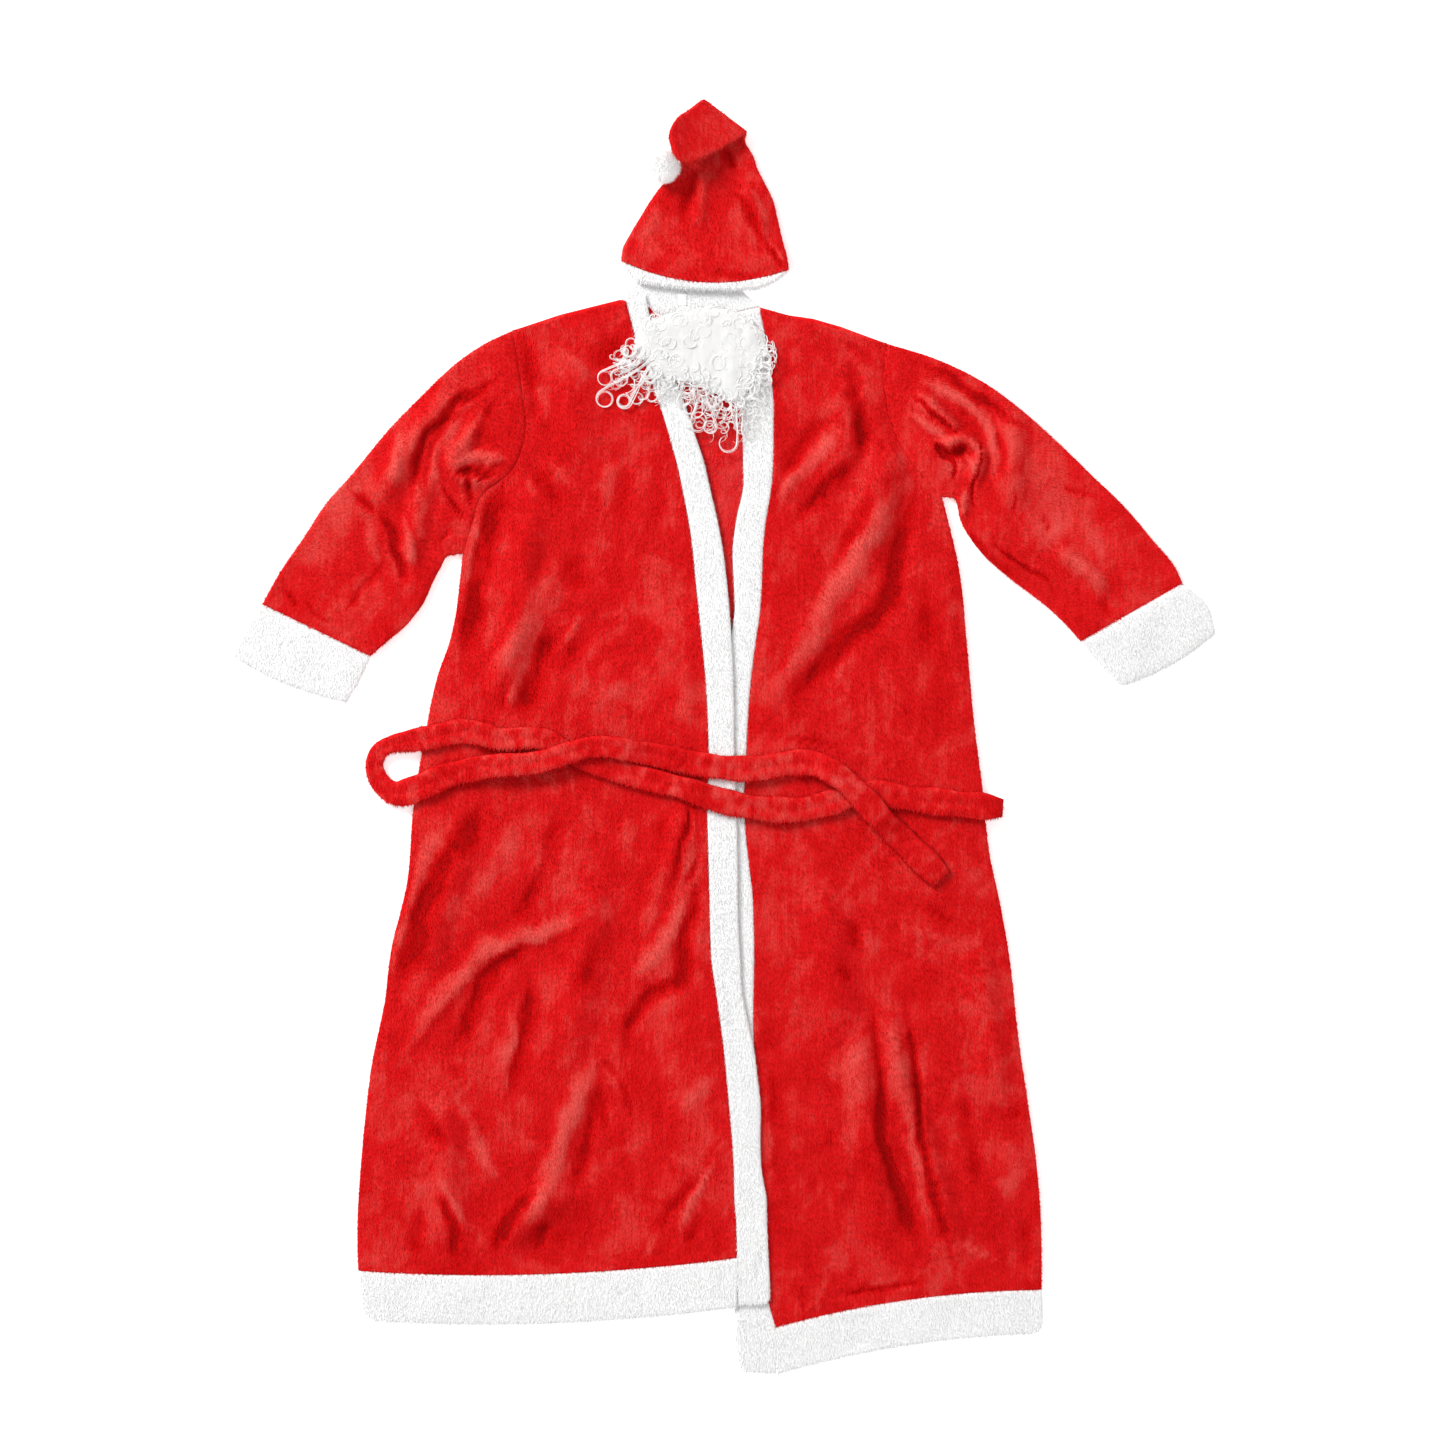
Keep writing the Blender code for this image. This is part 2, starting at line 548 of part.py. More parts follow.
def belt_rings(carriers):
    """Sections of the belt along its way over the robe, each a flat strap with a crease along its middle."""
    route = smooth_curve(from_photo(BELT), BELT_STATIONS)
    ahead = np.gradient(route[:, :2], axis=0)
    ahead /= np.linalg.norm(ahead, axis=1)[:, None]
    across = np.stack([-ahead[:, 1], ahead[:, 0]], axis=1)
    top_at = top_finder(carriers)
    shares = (-1.0, -0.5, 0.0, 0.5, 1.0)
    under = np.array([
        max(top_at(*(row[:2] + side * share * row[2] / 2)) for share in shares)
        for row, side in zip(route, across)
    ])
    for settle in (np.max, np.mean):
        padded = np.pad(under, 1, mode="edge")
        under = settle([padded[k:k + len(under)] for k in range(3)], axis=0)
    section = (
        (-1, 0.5), (-0.82, 0.93), (-0.4, 1.0), (0, 0.84), (0.4, 1.0), (0.82, 0.93), (1, 0.5), (0.82, 0.04),
        (-0.82, 0.04),
    )
    rings = []
    for row, side, base in zip(route, across, under):
        x, y, width, lift = row
        bottom = base + lift + (BELT_LAP if base > 0 else 0)
        rings.append([
            (x + side[0] * u * width / 2, y + side[1] * u * width / 2, bottom + v * BELT_THICKNESS)
            for u, v in section
        ])
    return rings


def hat_ring(row, inset=0.0, points=20, folds=HAT_FOLDS, bow=0.0, flat=True, tilt=0.0):
    """One ring of the hat. tilt turns its thickness from upright, at 0, through the fold to upside down."""
    x, y, z, half_width, half_thickness, turn = row
    turn = math.radians(turn)
    across = np.array((math.cos(turn), math.sin(turn)))
    ahead = np.array((-across[1], across[0]))
    reach, rise = half_width - inset, half_thickness - inset
    ring = []
    for k in range(points):
        angle = 2 * math.pi * k / points
        u = -math.cos(angle)
        roll = min(1.0, abs(math.sin(angle)) / 0.5)
        v = 0.0
        if roll > 1e-9:
            v = math.copysign(math.sqrt(roll * (2 - roll)), math.sin(angle))
        plan = np.array((x, y)) + across * u * reach - ahead * math.sin(tilt) * v * rise
        plan = plan + ahead * bow * (1 - u * u)
        height = z + math.cos(tilt) * v * rise
        if flat and v > 0:
            height += float(fold_height(*plan, folds)) * roll
        ring.append((plan[0], plan[1], height))
    return ring


def hat(material, collection):
    crown = smooth_curve(from_photo(HAT_CROWN), 12, spacing_columns=3)
    outer, inner = [], []
    for i, row in enumerate(crown):
        bow = HAT_LOWER_BOW * (1 - i / (len(crown) - 1)) ** 5
        tilt = math.radians(20) * float(smooth_step(i, len(crown) - 2, len(crown) - 1))
        outer.append(hat_ring(row, bow=bow, tilt=tilt))
        if i < len(crown) - 3:
            inner.append(hat_ring(row, inset=RED_WALL, bow=bow))
    for row, tilt in zip(from_photo(HAT_FOLD), HAT_FOLD_TILTS):
        outer.append(hat_ring(row, flat=False, tilt=math.radians(tilt)))
    return pocket("hat_crown", outer, inner, material, collection)


def hat_band(material, collection):
    rows = from_photo(HAT_BAND)
    outer = [hat_ring(row[:6], bow=row[6]) for row in rows]
    inner = [hat_ring(row[:6], bow=row[6], inset=RED_WALL) for row in rows]
    return open_tube("hat_band", outer, inner, material, collection)


def pompom(material, collection):
    x, y = from_photo([POMPOM[:2]])[0]
    bm = bmesh.new()
    bmesh.ops.create_uvsphere(bm, u_segments=16, v_segments=10, radius=POMPOM_RADIUS * MM)
    bmesh.ops.scale(bm, vec=(1, 1, POMPOM_HALF_HEIGHT / POMPOM_RADIUS), verts=bm.verts[:])
    bmesh.ops.translate(bm, vec=Vector((x, y, POMPOM[2])) * MM, verts=bm.verts[:])
    return make_object("pompom", bm, material, collection)


def collar(material, collection, rows=14):
    """The collar behind the neck, which joins the upper ends of the two bands."""
    outer = smooth_curve(from_photo(COLLAR_OUTER), rows + 1)
    inner = smooth_curve(from_photo(COLLAR_INNER), rows + 1)
    plan = patch(outer, inner, 2)
    return sheet("collar", plan, np.zeros(plan.shape[:2]), COLLAR_WALL, material, collection)


def neck_label(material, collection):
    rest = COLLAR_WALL + LAP
    ends = from_photo([(LABEL["x"], LABEL["top"]), (LABEL["x"], LABEL["bottom"])])
    left = np.linspace(ends[0], ends[1], 3) - (LABEL["width"] / 2, 0)
    plan = patch(left, left + (LABEL["width"], 0), 2)
    return sheet("neck_label", plan, np.full(plan.shape[:2], rest), LABEL["thickness"], material, collection)


def lock_path(root, tip):
    """Middle line of a wavy lock from its root to its tip, swinging wider towards the end."""
    run = tip - root
    length = np.linalg.norm(run)
    side = np.array((-run[1], run[0])) / length
    share = np.linspace(0, 1, LOCK_SEGMENTS)[:, None]
    swing = LOCK_SWING * (0.25 + 0.75 * share) * np.sin(2 * math.pi * share * length / LOCK_WAVE)
    return root + run * share + side * swing


def grow_lock(bm, ring, path, height):
    """Draws a ring of four points out along a path into a lock that grows thinner."""
    previous = np.mean([np.array(vert.co[:2]) / MM for vert in ring], axis=0)
    for k, point in enumerate(path):
        following = path[min(k + 1, len(path) - 1)]
        ahead = following - previous
        ahead /= np.linalg.norm(ahead)
        side = np.array((-ahead[1], ahead[0]))
        half = LOCK_SIZE / 2 * (1 - 0.5 * (k + 1) / len(path))
        places = [
            (*(point + side * u * half), height + v * half) for u, v in ((-1, -1), (1, -1), (1, 1), (-1, 1))
        ]
        fresh = [bm.verts.new(Vector(place) * MM) for place in places]
        join_rings(bm, ring, fresh)
        ring = fresh
        previous = point
    bm.faces.new(ring)


def beard(material, collection):
    """The sewn strip, with a lock drawn out of each face along its lower edge, and of the row behind it."""
    columns = BEARD_COLUMNS
    upper = smooth_curve(from_photo(STRIP_UPPER), columns + 1)
    lower = smooth_curve(from_photo(STRIP_LOWER), columns + 1)
    bottom, top = BEARD_REST, BEARD_REST + BEARD_THICKNESS
    # One section of the strip, from its upper edge over the top to its lower edge and back underneath
    profile = ((0, bottom), (0, top), (0.5, top), (1, top), (1, bottom), (0.5, bottom))
    bm = bmesh.new()
    rings = []
    for edge, far in zip(upper, lower):
        places = [(*(edge + (far - edge) * share), z) for share, z in profile]
        rings.append([bm.verts.new(Vector(place) * MM) for place in places])
    skin(bm, rings)
    bm.faces.new(rings[0])
    bm.faces.new(rings[-1])
    for locks, near, far in zip(LOCK_ROWS, (3, 2), (4, 3)):
        tips = smooth_curve(from_photo(locks["tips"]), columns)
        for column in range(columns):
            first, second = rings[column], rings[column + 1]
            ring = [first[far], second[far], second[near], first[near]]
            bm.faces.remove(bm.faces.get(ring))
            edge = (lower[column] + lower[column + 1]) / 2
            root = edge + (tips[column] - edge) * 0.05
            height = (bottom + top) / 2 + locks["rise"]
            grow_lock(bm, ring, lock_path(root, tips[column]), height)
    return make_object("beard", bm, material, collection)


def main():
    clear_scene()
    suit = bpy.data.collections.new("santa_suit")
    bpy.context.scene.collection.children.link(suit)
    red = cloth_material("red_plush", RED, 0.9)
    white = cloth_material("white_plush", WHITE, 0.95)
    label = cloth_material("label_cloth", LABEL_WHITE, 0.6)
    hair = cloth_material("curly_hair", HAIR_WHITE, 0.45)

    left = body_edge(ARMHOLE_LEFT, SIDE_LEFT)
    right = body_edge(ARMHOLE_RIGHT, SIDE_RIGHT)
    rim_left = band_rim(SEAM_LEFT, HEM_TOP_LEFT_PX)
    rim_right = band_rim(SEAM_RIGHT, HEM_TOP_RIGHT_PX)
    seam_left, seam_right = rim_left[:len(left), :2], rim_right[:len(right), :2]
    back = back_plan(left, right)
    robe = [
        sheet("back", back, np.zeros(back.shape[:2]), RED_WALL, red, suit),
        back_hem(back[-1, 0], back[-1, -1], white, suit),
        front("front_left", left, seam_left, True, red, suit),
        front("front_right", right, seam_right, False, red, suit),
        hem(
            "hem_left", left[-1], seam_left[-1], (7, -HEM_DEPTH_LEFT), (-1, -HEM_DEPTH_LEFT),
            LEFT_HEM_BOW, True, white, suit,
        ),
        hem(
            "hem_right", right[-1], seam_right[-1] + (3 * SEAM, 0), (2, -HEM_DEPTH_RIGHT + 3),
            (2, -HEM_DEPTH_RIGHT), RIGHT_HEM_BOW, False, white, suit,
        ),
        band("band_left", rim_left, 1, True, white, suit),
        band("band_right", rim_right, -1, False, white, suit),
    ]
    sleeve("sleeve_left", left[:ARMHOLE_ROWS + 1], SLEEVE_LEFT, -1, red, suit)
    sleeve("sleeve_right", right[:ARMHOLE_ROWS + 1], SLEEVE_RIGHT, 1, red, suit)
    cuff("cuff_left", CUFF_LEFT, white, suit)
    cuff("cuff_right", CUFF_RIGHT, white, suit)
    collar(white, suit)
    neck_label(label, suit)
    solid_strap("belt", belt_rings(robe), red, suit)
    hat(red, suit)
    hat_band(white, suit)
    pompom(white, suit)
    beard(hair, suit)


main()
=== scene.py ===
"""Looks of the red plush suit: the cloth with its pile, white trim, belt, hat and curly beard.

Lengths are in millimetres in the tables and the shape functions, and turned into metres where a mesh is made.
The frame is the part's own: +Z up from the floor, +Y from the hem towards the hat.
"""
import math

import bmesh
import bpy
import numpy as np
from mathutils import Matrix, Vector, noise
from mathutils.bvhtree import BVHTree


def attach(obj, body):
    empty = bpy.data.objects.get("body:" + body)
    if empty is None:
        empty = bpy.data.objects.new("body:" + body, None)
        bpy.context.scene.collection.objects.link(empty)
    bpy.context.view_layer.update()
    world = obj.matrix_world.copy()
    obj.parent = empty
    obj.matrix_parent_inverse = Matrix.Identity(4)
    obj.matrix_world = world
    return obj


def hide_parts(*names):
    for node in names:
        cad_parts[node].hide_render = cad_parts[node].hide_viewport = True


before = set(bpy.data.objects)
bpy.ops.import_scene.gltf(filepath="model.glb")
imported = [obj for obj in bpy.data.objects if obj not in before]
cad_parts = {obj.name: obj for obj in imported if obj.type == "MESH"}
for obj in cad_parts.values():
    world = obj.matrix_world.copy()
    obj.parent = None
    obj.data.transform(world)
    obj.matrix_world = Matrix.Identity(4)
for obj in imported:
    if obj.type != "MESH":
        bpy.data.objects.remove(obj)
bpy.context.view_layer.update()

MM = 0.001

# Walls and clearances
SEAM = 0.4          # gap between pieces at a seam
RED_WALL = 3.0      # plush cloth with its pile
WHITE_WALL = 4.0    # long-pile trim
LAP = 0.4           # height between a piece and what it lies on
FRONT_LOFT = 0.8    # how far a front stands off the back panel, away from its side seam
TUBE_GAP = 1.6      # space between the two layers of a sleeve, a cuff or the hat

# Heights of the undersides above the floor
FRONT_REST = WHITE_WALL + LAP
UNDER_BAND_REST = WHITE_WALL + LAP
OVER_BAND_REST = UNDER_BAND_REST + WHITE_WALL + LAP
NECK_BAND_REST = RED_WALL + LAP
COLLAR_WALL = 3.0

# Heights on the robe, as Y, between which the over band climbs onto the under one
CROSSING_TOP_Y = 175.0
CROSSING_FULL_Y = 118.0

# Plan points in the tables are in the picture's pixels, from its top left corner. Other columns are in mm.
PIXEL = 1.12
MIDDLE_PX = (723.5, 737.0)

# Outline of the robe. An armhole runs from the shoulder tip to the underarm, a side from there to the hem.
ARMHOLE_LEFT = (
    (512, 330), (520, 385), (525, 427), (519, 458), (500, 480), (482, 493), (469, 530), (463, 553),
)
SIDE_LEFT = (
    (463, 553), (450, 640), (436, 680), (427, 724), (413, 809), (407, 882), (390, 955), (385, 999),
    (372, 1062), (365, 1118), (360, 1174), (357, 1228), (358, 1271),
)
ARMHOLE_RIGHT = ((887, 343), (884, 377), (887, 406), (899, 441), (916, 467), (942, 497))
SIDE_RIGHT = (
    (942, 497), (954, 544), (960, 573), (966, 632), (976, 738), (983, 790), (989, 850), (1001, 907),
    (1009, 953), (1019, 1041), (1028, 1102), (1037, 1166), (1041, 1217), (1042, 1290),
)
# Seam between a front and its band, from the neck down to the band's end. Columns: x, y, the band's width
SEAM_LEFT = (
    (625, 300, 24), (628, 312, 22), (636, 340, 23), (647, 370, 25), (658, 400, 27), (669, 436, 28),
    (677, 465, 30), (684.5, 501, 31), (691, 538, 33), (695.5, 583, 35), (700, 625, 34), (706, 690, 31),
    (708.4, 750, 29), (707, 808, 33), (708.3, 864, 33), (709.6, 919, 32), (711, 959, 33), (717.6, 1004, 29),
    (722.4, 1040, 33), (727.4, 1090, 35), (730, 1120, 35), (733, 1156, 30), (734, 1197, 36), (737, 1243, 34),
    (737, 1268, 36), (738, 1305, 36),
)
SEAM_RIGHT = (
    (760, 307, 26), (763, 325, 28), (768, 345, 30), (771, 375, 32), (774, 400, 34), (774, 438, 35),
    (773, 479, 33), (770, 501, 31), (765, 530, 34), (763, 562, 34), (761, 609, 29), (757, 636, 29),
    (752, 674, 33), (746.5, 756, 34), (744.6, 810, 34), (748, 851, 34), (753, 894, 34), (754.6, 946, 34),
    (754, 1036, 34), (757, 1090, 32), (759, 1120, 32), (758, 1156, 28), (765, 1197, 33), (765, 1243, 31),
    (768, 1270, 33), (768, 1300, 38), (773, 1317, 46), (776, 1330, 47), (777, 1352, 46), (776, 1374, 40),
)
# Where the hem bands start on those seams, how deep they are, and how far their middles bow towards +Y
HEM_TOP_LEFT_PX = 1257.0
HEM_TOP_RIGHT_PX = 1328.0
HEM_DEPTH_LEFT = 55.0
HEM_DEPTH_RIGHT = 52.0
HEM_DEPTH_BACK = 48.0
BACK_HEM_SLANT = 8.0
LEFT_HEM_BOW = -11.0
RIGHT_HEM_BOW = 10.0
BACK_HEM_BOW = 20.0
# Top edge of the back panel: the two shoulders with the neckline between them
BACK_TOP = (
    (512, 330), (560, 314), (596, 305), (620, 299), (632, 301.5), (649, 306), (655.5, 314), (668, 319),
    (700, 322.5), (726, 319.5), (736, 314), (740, 311.5), (760, 309), (785, 314), (813, 318), (841, 326),
    (887, 343),
)
# The collar round the back of the neck: its edge away from the neckline and its edge next to it
COLLAR_OUTER = ((626, 297), (630, 286), (645, 277), (690, 274), (730, 279), (748, 296), (760, 306))
COLLAR_INNER = ((633, 299), (648, 303.5), (655, 311.5), (668, 316.8), (700, 320), (726, 317), (737, 310))

# Sleeves from the armhole to the cuff, and the cuffs. Columns: x and y of the edge away from the body, then
# x and y of the edge next to it
SLEEVE_LEFT = (
    (487, 342, 457, 554), (461, 359, 451, 555), (420, 397, 445, 558), (388, 430, 440, 568),
    (350, 476, 433, 581), (326, 503, 423, 603), (303, 538, 405, 626), (279, 573, 386, 642),
    (262, 604, 370, 656),
)
SLEEVE_RIGHT = (
    (937, 359, 954, 498), (987, 384, 958, 507), (1016, 405, 960, 517), (1060, 444, 968, 534),
    (1092, 475, 984, 555), (1125, 507, 1010, 578), (1154, 541, 1039, 600), (1174, 565, 1062, 620),
    (1183, 583, 1081, 641),
)
CUFF_LEFT = ((261.8, 604.4, 369.8, 656.4), (245, 629, 359, 681), (231, 655, 346, 702))
CUFF_RIGHT = ((1183.2, 583.4, 1081.2, 641.4), (1206, 603, 1096, 659), (1216, 633, 1122, 686))
CUFF_WALL = 3.6
CUFF_BOW = 7.0

# Rows of points along an armhole and a side
ARMHOLE_ROWS = 9
SIDE_ROWS = 24
BAND_END_ROWS = 3

# Soft folds: half width, height, then the points that the crest runs through
BODY_FOLDS = {
    "chest left": (28, 7, ((532, 480), (524, 560), (512, 640), (494, 720))),
    "shoulder left": (34, 5, ((560, 345), (573, 400), (590, 470))),
    "hip left": (30, 8, ((480, 812), (455, 860), (432, 925), (418, 985))),
    "by the band": (24, 5, ((690, 800), (676, 845), (668, 890))),
    "skirt left middle": (36, 6, ((600, 850), (585, 960), (560, 1080))),
    "skirt left slant": (32, 7, ((580, 1180), (527, 1215), (494, 1252))),
    "skirt left side": (28, 6, ((440, 1070), (446, 1160), (452, 1250))),
    "armpit right": (34, 8, ((900, 436), (878, 490), (860, 560))),
    "chest right": (30, 6, ((846, 370), (846, 430), (820, 500))),
    "skirt right long": (24, 8, ((886, 990), (898, 1076), (918, 1127), (942, 1204), (962, 1270))),
    "skirt right inner": (26, 6, ((858, 1000), (866, 1100), (886, 1250))),
    "skirt right upper": (36, 5, ((820, 870), (832, 960), (842, 1060))),
    "skirt right side": (30, 6, ((970, 930), (990, 1020), (1006, 1120))),
}
SLEEVE_FOLDS = {
    "left flap": (15, 8, ((493, 406), (466, 440), (452, 462), (463, 477), (500, 474))),
    "left upper arm": (26, 8, ((470, 380), (420, 432), (390, 480), (372, 520))),
    "left elbow": (20, 6, ((424, 470), (418, 515), (407, 573))),
    "right ridge": (15, 9, ((913, 391), (945, 420), (964, 436))),
    "right hook": (13, 10, ((922, 442), (942, 446), (962, 438), (978, 450), (974, 474), (967, 496))),
    "right upper arm": (24, 7, ((1000, 402), (1012, 440), (1010, 480), (1020, 516))),
    "right forearm": (16, 6, ((1050, 545), (1085, 570), (1110, 598))),
}

# Belt, from its end on the right, round the loop on the left and back to its loose end. Columns: x and y of
# its middle, its width, and how far it is lifted to pass over the stretch that was laid before
BELT = (
    (1003, 808, 20, 0), (990, 807, 28, 0), (950, 803, 30, 0), (900, 797, 29, 0), (875, 793, 28, 0),
    (855, 794, 27, 0), (835, 801, 27, 0), (810, 808, 28, 0), (760, 808, 28, 0), (720, 800, 27, 0),
    (680, 787, 26, 0), (640, 777, 26, 0), (600, 765, 25, 0), (575, 756, 24, 0), (558, 746, 24, 0),
    (544, 739, 24, 0), (524, 738, 25, 0), (501, 739, 26, 0), (482, 734, 27, 0), (462, 731, 28, 0),
    (432, 737, 27, 0), (409, 741, 24, 0), (392, 744, 20, 0), (379, 751, 19, 0), (374, 764, 19, 0),
    (379, 781, 23, 0), (394, 793, 27, 0), (420, 787, 29, 0), (443, 777, 29, 0), (469, 770, 28, 1),
    (501, 765, 26, 7.6), (524, 764, 25, 8.2), (547, 760, 24, 8.2), (570, 752, 24, 8.2), (600, 746, 24, 8.2),
    (625, 749, 25, 7.6), (650, 754, 26, 1), (680, 760, 27, 0), (720, 767, 28, 0), (760, 768, 28, 0),
    (790, 763, 28, 0), (812, 763, 28, 2), (828, 769, 28, 8), (845, 781, 28, 8.2), (865, 800, 28, 8.2),
    (880, 817, 29, 7.6), (897, 834, 29, 1), (915, 852, 30, 0), (932, 869, 30, 0), (941, 879, 26, 0),
)
BELT_THICKNESS = 7.0
BELT_STATIONS = 84

# Hat crown from its lower edge up to the fold, then over it and along the tip. Columns: x, y and height of
# its middle, half its width, half its thickness, and the turn of its width away from +X in degrees
HAT_CROWN = (
    (705, 265, 7.9, 94, 4.4, -3), (705, 252, 7.9, 92, 4.4, -3), (706, 238, 5, 86, 4.4, -2),
    (709, 218, 4.5, 77, 4.4, -1), (712, 199, 4.5, 68, 4.4, 0), (714, 183, 4.5, 57, 4.4, 0),
    (718, 166, 4.5, 44, 4.4, -3), (719, 148, 4.5, 39, 4.4, -12), (720, 134, 4.5, 34, 4.3, -24),
    (721, 125, 5.2, 31.5, 4.2, -33),
)
HAT_FOLD = (
    (723.5, 118, 10.6, 30.5, 4.2, -37), (717, 122, 16.4, 30, 4.4, -42), (705, 130, 20, 28, 6, -50),
    (692, 138, 26, 27, 7.5, -60), (682, 144, 32, 24, 7.5, -70), (675, 147, 36.5, 18, 6, -75),
    (671, 148, 38, 9, 4, -75),
)
HAT_FOLD_TILTS = (90, 150, 176, 180, 180, 180, 180)
HAT_LOWER_BOW = -19.0
HAT_FOLDS = {
    "crown middle": (12, 4, ((700, 165), (700, 200), (696, 232))),
    "crown right": (10, 4, ((742, 178), (752, 205), (768, 245))),
}
# The hat band has the same columns, and the bow of its ring towards +Y
HAT_BAND = (
    (705, 265.4, 7.9, 94, 4.4, -3, -19), (702, 276, 7.9, 83, 4.4, -3, -11), (698, 286, 7.9, 66, 4.4, -3, -4),
)
POMPOM = (664.3, 166.7, 21)
POMPOM_RADIUS = 18.5
POMPOM_HALF_HEIGHT = 16.0

# Beard: a sewn strip that carries rows of curled locks
STRIP_EDGE = ((640, 325), (668, 314), (705, 308), (738, 313), (763, 332))
BEARD_REST = 9.4
BEARD_COLUMNS = 15
LOCK_SEGMENTS = 14
LOCK_WAVE = 34.0
LOCK_SWING = 4.4
# Each row of locks: its height over the strip's middle, and where the tips lie from left to right
LOCK_ROWS = (
    {
        "rise": 0.0,
        "tips": (
            (600, 374), (608, 402), (638, 410), (668, 412), (694, 444), (722, 452), (746, 444), (772, 392),
        ),
    },
    {
        "rise": 7.2,
        "tips": ((612, 362), (626, 386), (658, 392), (690, 404), (716, 424), (746, 414), (773, 366)),
    },
)

LABEL = {"x": 682, "top": 293, "bottom": 305, "width": 10, "thickness": 0.6}

# Finer than the solids: how many rows or columns of the looks go into one of theirs
FINER_ROWS = 6
BACK_FINER_ROWS = 2
FRONT_COLUMNS = 96
TRIM_COLUMNS = 8
RING_POINTS = 108
SLEEVE_RINGS = 104
CREASE_STEP = 2.5     # mm between the points that a crease is measured from
# These two set the painted shade in a cloth's troughs and the painted highlight on its ridges
SMOOTHINGS = 30       # how often a height is averaged with its neighbours to find what is around it
FULL_PAINTED_FOLD = 4.0       # mm over what is around it at which a fold has its full tone
SEAM_TURN = 1.3       # how far a sleeve's seam allowance is turned in under the body's edge
SEAM_DRAW = 5         # how much of its rounding a fur trim loses where it's drawn up to another
LOWEST_FRONT = 3.5    # height that a front's underside keeps over the back
HEM_CORNER = 14.0     # radius of a hem's outer corner, then of a band's
BAND_CORNER = 8.0

# The beard's pad of fine hair, and its open loops. Columns: x and y of the ringlet's root, x and y of the
# loop's middle, its radius in mm, its turns, the way it goes round, and its strands
BEARD_PAD_LOWER = (
    (634, 342), (646, 362), (666, 378), (694, 384), (716, 394), (738, 402), (752, 384), (768, 350),
)
PAD_HEIGHT = 6.5
PAD_ROUNDING = 18.0
OPEN_LOOPS = (
    (645, 352, 605, 378, 8.5, 1.1, 1, 4), (648, 356, 617, 376, 7.0, 1.2, 1, 4),
    (650, 360, 605, 399, 9.5, 1.3, 1, 5), (652, 364, 624, 401, 8.0, 1.6, -1, 5),
    (655, 368, 637, 398, 7.0, 1.2, 1, 4), (640, 345, 628, 351, 6.5, 1.1, -1, 3),
    (660, 372, 652, 396, 6.5, 1.4, -1, 3), (642, 350, 634, 372, 6.0, 1.3, 1, 3),
    (700, 392, 698, 424, 8.5, 1.3, 1, 4), (706, 392, 710, 427, 7.5, 1.4, -1, 4),
    (716, 396, 720, 412, 7.0, 1.2, 1, 4), (738, 402, 728, 443, 10.5, 0.75, -1, 5),
    (728, 400, 741, 420, 8.0, 1.2, 1, 4), (694, 388, 690, 408, 7.0, 1.3, -1, 4),
    (742, 404, 748, 432, 6.5, 1.1, 1, 3), (684, 386, 682, 402, 6.0, 1.3, 1, 3),
    (754, 372, 766, 380, 6.0, 1.0, -1, 3), (766, 336, 772, 350, 5.5, 1.1, 1, 2),
)
